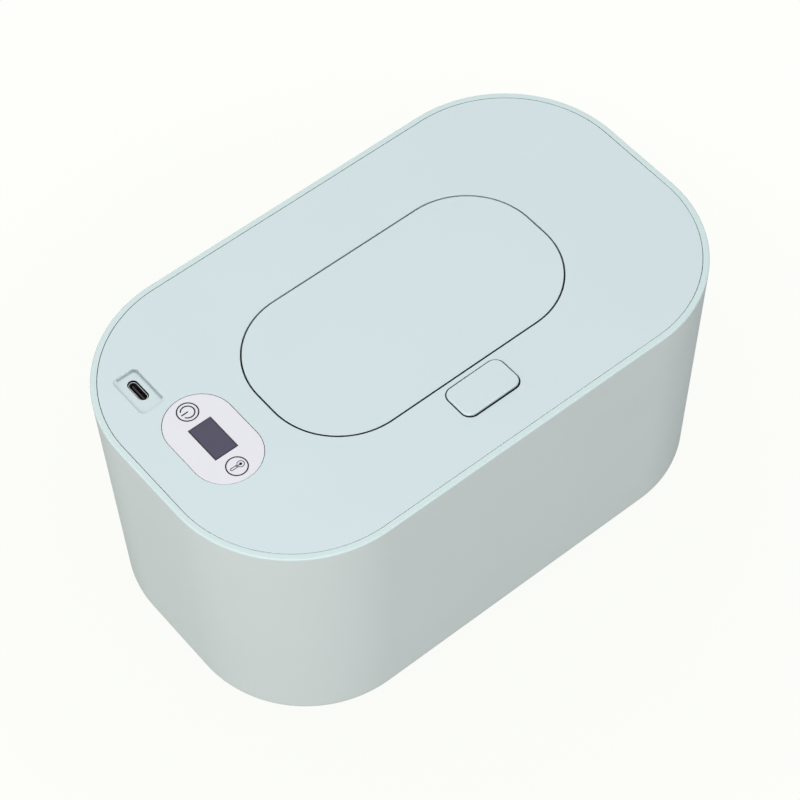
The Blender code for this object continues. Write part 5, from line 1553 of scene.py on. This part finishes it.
def power_inlet():
    """Steel shell with a rolled lip, and the tongue with its contacts."""
    length = PORT_HIGH.y - PORT_LOW.y
    width = PORT_HIGH.x - PORT_LOW.x

    def outside(inset):
        return port_slot(length - 2 * inset, width - 2 * inset)

    def inside(inset):
        return outside(PORT_SHELL_WALL + inset)

    shell = ring("port_shell", outside, inside, DECK_TOP - PORT_LOW.z, DECK_TOP - PORT_HIGH.z, PORT_EDGE)
    finish(shell, STEEL, "cover", ["usb_shell"])

    core_low, core_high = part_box("usb_core")
    base_top = core_low.z + CORE_HEIGHT
    base = prism("port_core", inside(FIT / 2), DECK_TOP - core_low.z, DECK_TOP - base_top)
    half_x = TONGUE_WIDTH / 2
    half_y = TONGUE_LENGTH / 2
    x_range = (PORT_X - half_x, PORT_X + half_x)
    y_range = (PORT_Y - half_y, PORT_Y + half_y)
    depths = (DECK_TOP - base_top + SINK, DECK_TOP - core_high.z)
    combine(base, adds=[block("tongue", x_range, y_range, *depths, TONGUE_EDGE)])
    finish(base, BLACK_PLASTIC, "cover", ["usb_core"])
    for side, row in ((-1, "left"), (1, "right")):
        for number in range(CONTACTS):
            middle = PORT_Y + (number - (CONTACTS - 1) / 2) * CONTACT_PITCH
            x_range = (PORT_X + side * half_x, PORT_X + side * (half_x + PRINT))
            y_range = (middle - CONTACT_WIDTH / 2, middle + CONTACT_WIDTH / 2)
            depths = (DECK_TOP - base_top, DECK_TOP - core_high.z + CONTACT_TIP)
            strip = block(f"port_contact_{row}_{number + 1}", x_range, y_range, *depths)
            finish(strip, GOLD_DARKENED_AS_SHADE, "cover")


def cross_cutter(x, y, head_z, radius, depth):
    """Two crossed bars that cut a driver recess upward into a screw's head."""
    depths = (DECK_TOP - head_z + OVERRUN, DECK_TOP - head_z - depth)
    narrow = radius * CROSS_WIDTH_SHARE
    arms = []
    for half_x, half_y in ((radius, narrow), (narrow, radius)):
        arms.append(block("cross", (x - half_x, x + half_x), (y - half_y, y + half_y), *depths))
    return arms


def screws():
    """Pan-head screws with a cross recess and a thread, heads down."""
    for prefix, (count, shank, head_height, length) in SCREWS.items():
        for number, (x, y) in enumerate(screw_places(prefix), 1):
            node = f"{prefix}{number}"
            low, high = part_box(node)
            head = (high.x - low.x) / 2
            seat = low.z + head_height
            crown = head_height / 2
            cross = head * CROSS_REACH_SHARE
            profile = [(cross, low.z)]
            profile += arc((head - crown, low.z + crown), crown, HEAD_EDGE_START, 360)
            profile += [(head, seat), (shank, seat)]
            z = seat + THREAD_PITCH / 2
            while z < high.z - 2 * shank:
                profile += [(shank, z), (shank - THREAD_PITCH / 4, z + THREAD_PITCH / 2)]
                z += THREAD_PITCH
            profile += [(shank * SHANK_END_SHARE, high.z - shank), (shank * SHANK_TIP_SHARE, high.z)]
            body = lathe(node + "_steel", profile, (x, y, 0), ROUND_SIDES // 2)
            combine(body, cuts=cross_cutter(x, y, low.z, cross, head_height * CROSS_DEPTH_SHARE))
            finish(body, STEEL, "cover", [node])


def dress(look, *nodes):
    """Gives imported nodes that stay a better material."""
    for node in nodes:
        for place in frame["nodes"][node].material_slots:
            place.material = look


def inner_nodes():
    dress(SHEET_ALUMINIUM, "heat_plate")
    dress(FILM, "heating_film")
    dress(FELT, "insulation_pad")
    dress(BOARD, "control_board")
    dress(BLACK_PLASTIC, "display_module", "temperature_sensor")
    dress(NYLON, "heater_connector", "sensor_connector")
    dress(RED_SLEEVE, "heater_lead_1")
    dress(BLACK_SLEEVE, "heater_lead_2")
    dress(WHITE_SLEEVE, "sensor_lead")
    dress(FOOT_RUBBER, "wire_grommet")
    dress(STEEL, "thermal_fuse")
    dress(INNER_WHITE, "latch_slide")


def camera():
    turn = math.radians(CAMERA_TURN)
    height = math.radians(CAMERA_HEIGHT)
    roll = math.radians(CAMERA_ROLL)
    level_back = Vector((math.sin(turn), -math.cos(turn), 0))
    back = level_back * math.cos(height) + Vector((0, 0, math.sin(height)))
    level_right = Vector((math.cos(turn), math.sin(turn), 0))
    level_up = back.cross(level_right)
    right = level_right * math.cos(roll) + level_up * math.sin(roll)
    up = level_up * math.cos(roll) - level_right * math.sin(roll)
    aim = Vector((*CAMERA_AIM, DECK_TOP))
    data = bpy.data.cameras.new("camera")
    data.sensor_width = SENSOR
    data.lens = CAMERA_LENS
    data.clip_start = CAMERA_NEAR
    obj = bpy.data.objects.new("camera", data)
    bpy.context.scene.collection.objects.link(obj)
    matrix = Matrix((right, up, back)).transposed().to_4x4()
    matrix.translation = aim + back * CAMERA_DISTANCE
    obj.matrix_world = matrix
    bpy.context.scene.camera = obj


def seen_directly(nodes):
    """1 for camera, glossy and transmission rays, 0 for the rays that light the object."""
    kinds = ("Camera", "Glossy", "Transmission")
    camera_ray, glossy, transmission = [
        nodes.add("ShaderNodeLightPath", out=f"Is {kind} Ray") for kind in kinds
    ]
    return nodes.add("ShaderNodeClamp", inputs={0: camera_ray + glossy + transmission})


def world():
    """White behind the object, and a soft light on it that is weaker from behind."""
    made = bpy.data.worlds.new("studio")
    made.use_nodes = True
    bpy.context.scene.world = made
    nodes = Nodes(made.node_tree)
    background = made.node_tree.nodes["Background"]
    turn = math.radians(CAMERA_TURN)
    inputs = {
        0: nodes.add("ShaderNodeTexCoord", out="Generated"),
        1: Vector((-math.sin(turn), math.cos(turn), 0.0)),
    }
    facing = nodes.add("ShaderNodeVectorMath", {"operation": "DOT_PRODUCT"}, inputs, out="Value")
    light = nodes.mix(fade(nodes, facing, *SKY_TURN), SKY, SKY_BEHIND)
    nodes.feed(background.inputs["Color"], nodes.mix(seen_directly(nodes), light, WHITE))


def floor():
    work = bmesh.new()
    bmesh.ops.create_grid(work, x_segments=1, y_segments=1, size=FLOOR_HALF)
    obj = mesh_object("floor", work)
    made = Finish("floor_white")
    nodes = made.nodes
    made.set(base_color=(FLOOR_WHITE,) * 3, roughness=FLOOR_ROUGHNESS, specular_ior_level=0.0)
    glow = nodes.add("ShaderNodeEmission", inputs={"Color": (*WHITE, 1), "Strength": 1.0})
    away = nodes.place("X") ** 2 + nodes.place("Y") ** 2
    far = nodes.add("ShaderNodeClamp", inputs={0: FLOOR_GLOW + away / FLOOR_FADE**2})
    lit = Socket(nodes, made.shader.outputs[0])
    factor = seen_directly(nodes) * far
    blend = nodes.add("ShaderNodeMixShader", inputs={0: factor, 1: lit, 2: glow})
    output = made.material.node_tree.nodes["Material Output"]
    nodes.feed(output.inputs["Surface"], blend)
    obj.data.materials.append(made.material)


def lamp(name, place, size, share):
    """Square soft light aimed at the object. The share is the brightness it adds to a white face that
    looks straight at it."""
    data = bpy.data.lights.new(name, "AREA")
    data.shape = "SQUARE"
    data.size = size
    data.energy = share * math.pi**2 * Vector(place).length_squared
    obj = bpy.data.objects.new(name, data)
    obj.location = place
    obj.rotation_euler = Vector(place).to_track_quat("Z", "Y").to_euler()
    bpy.context.scene.collection.objects.link(obj)


def lights():
    lamp("top_softbox", *TOP_SOFTBOX)
    lamp("left_softbox", *LEFT_SOFTBOX)
    lamp("back_softbox", *BACK_SOFTBOX)


tub()
feet()
deck()
tray()
seals()
lid()
key_springs()
latch_spring()
lid_spring()
hinge_pin()
button()
control_panel()
power_inlet()
screws()
inner_nodes()
camera()
world()
floor()
lights()

bpy.context.scene.view_settings.view_transform = "Standard"
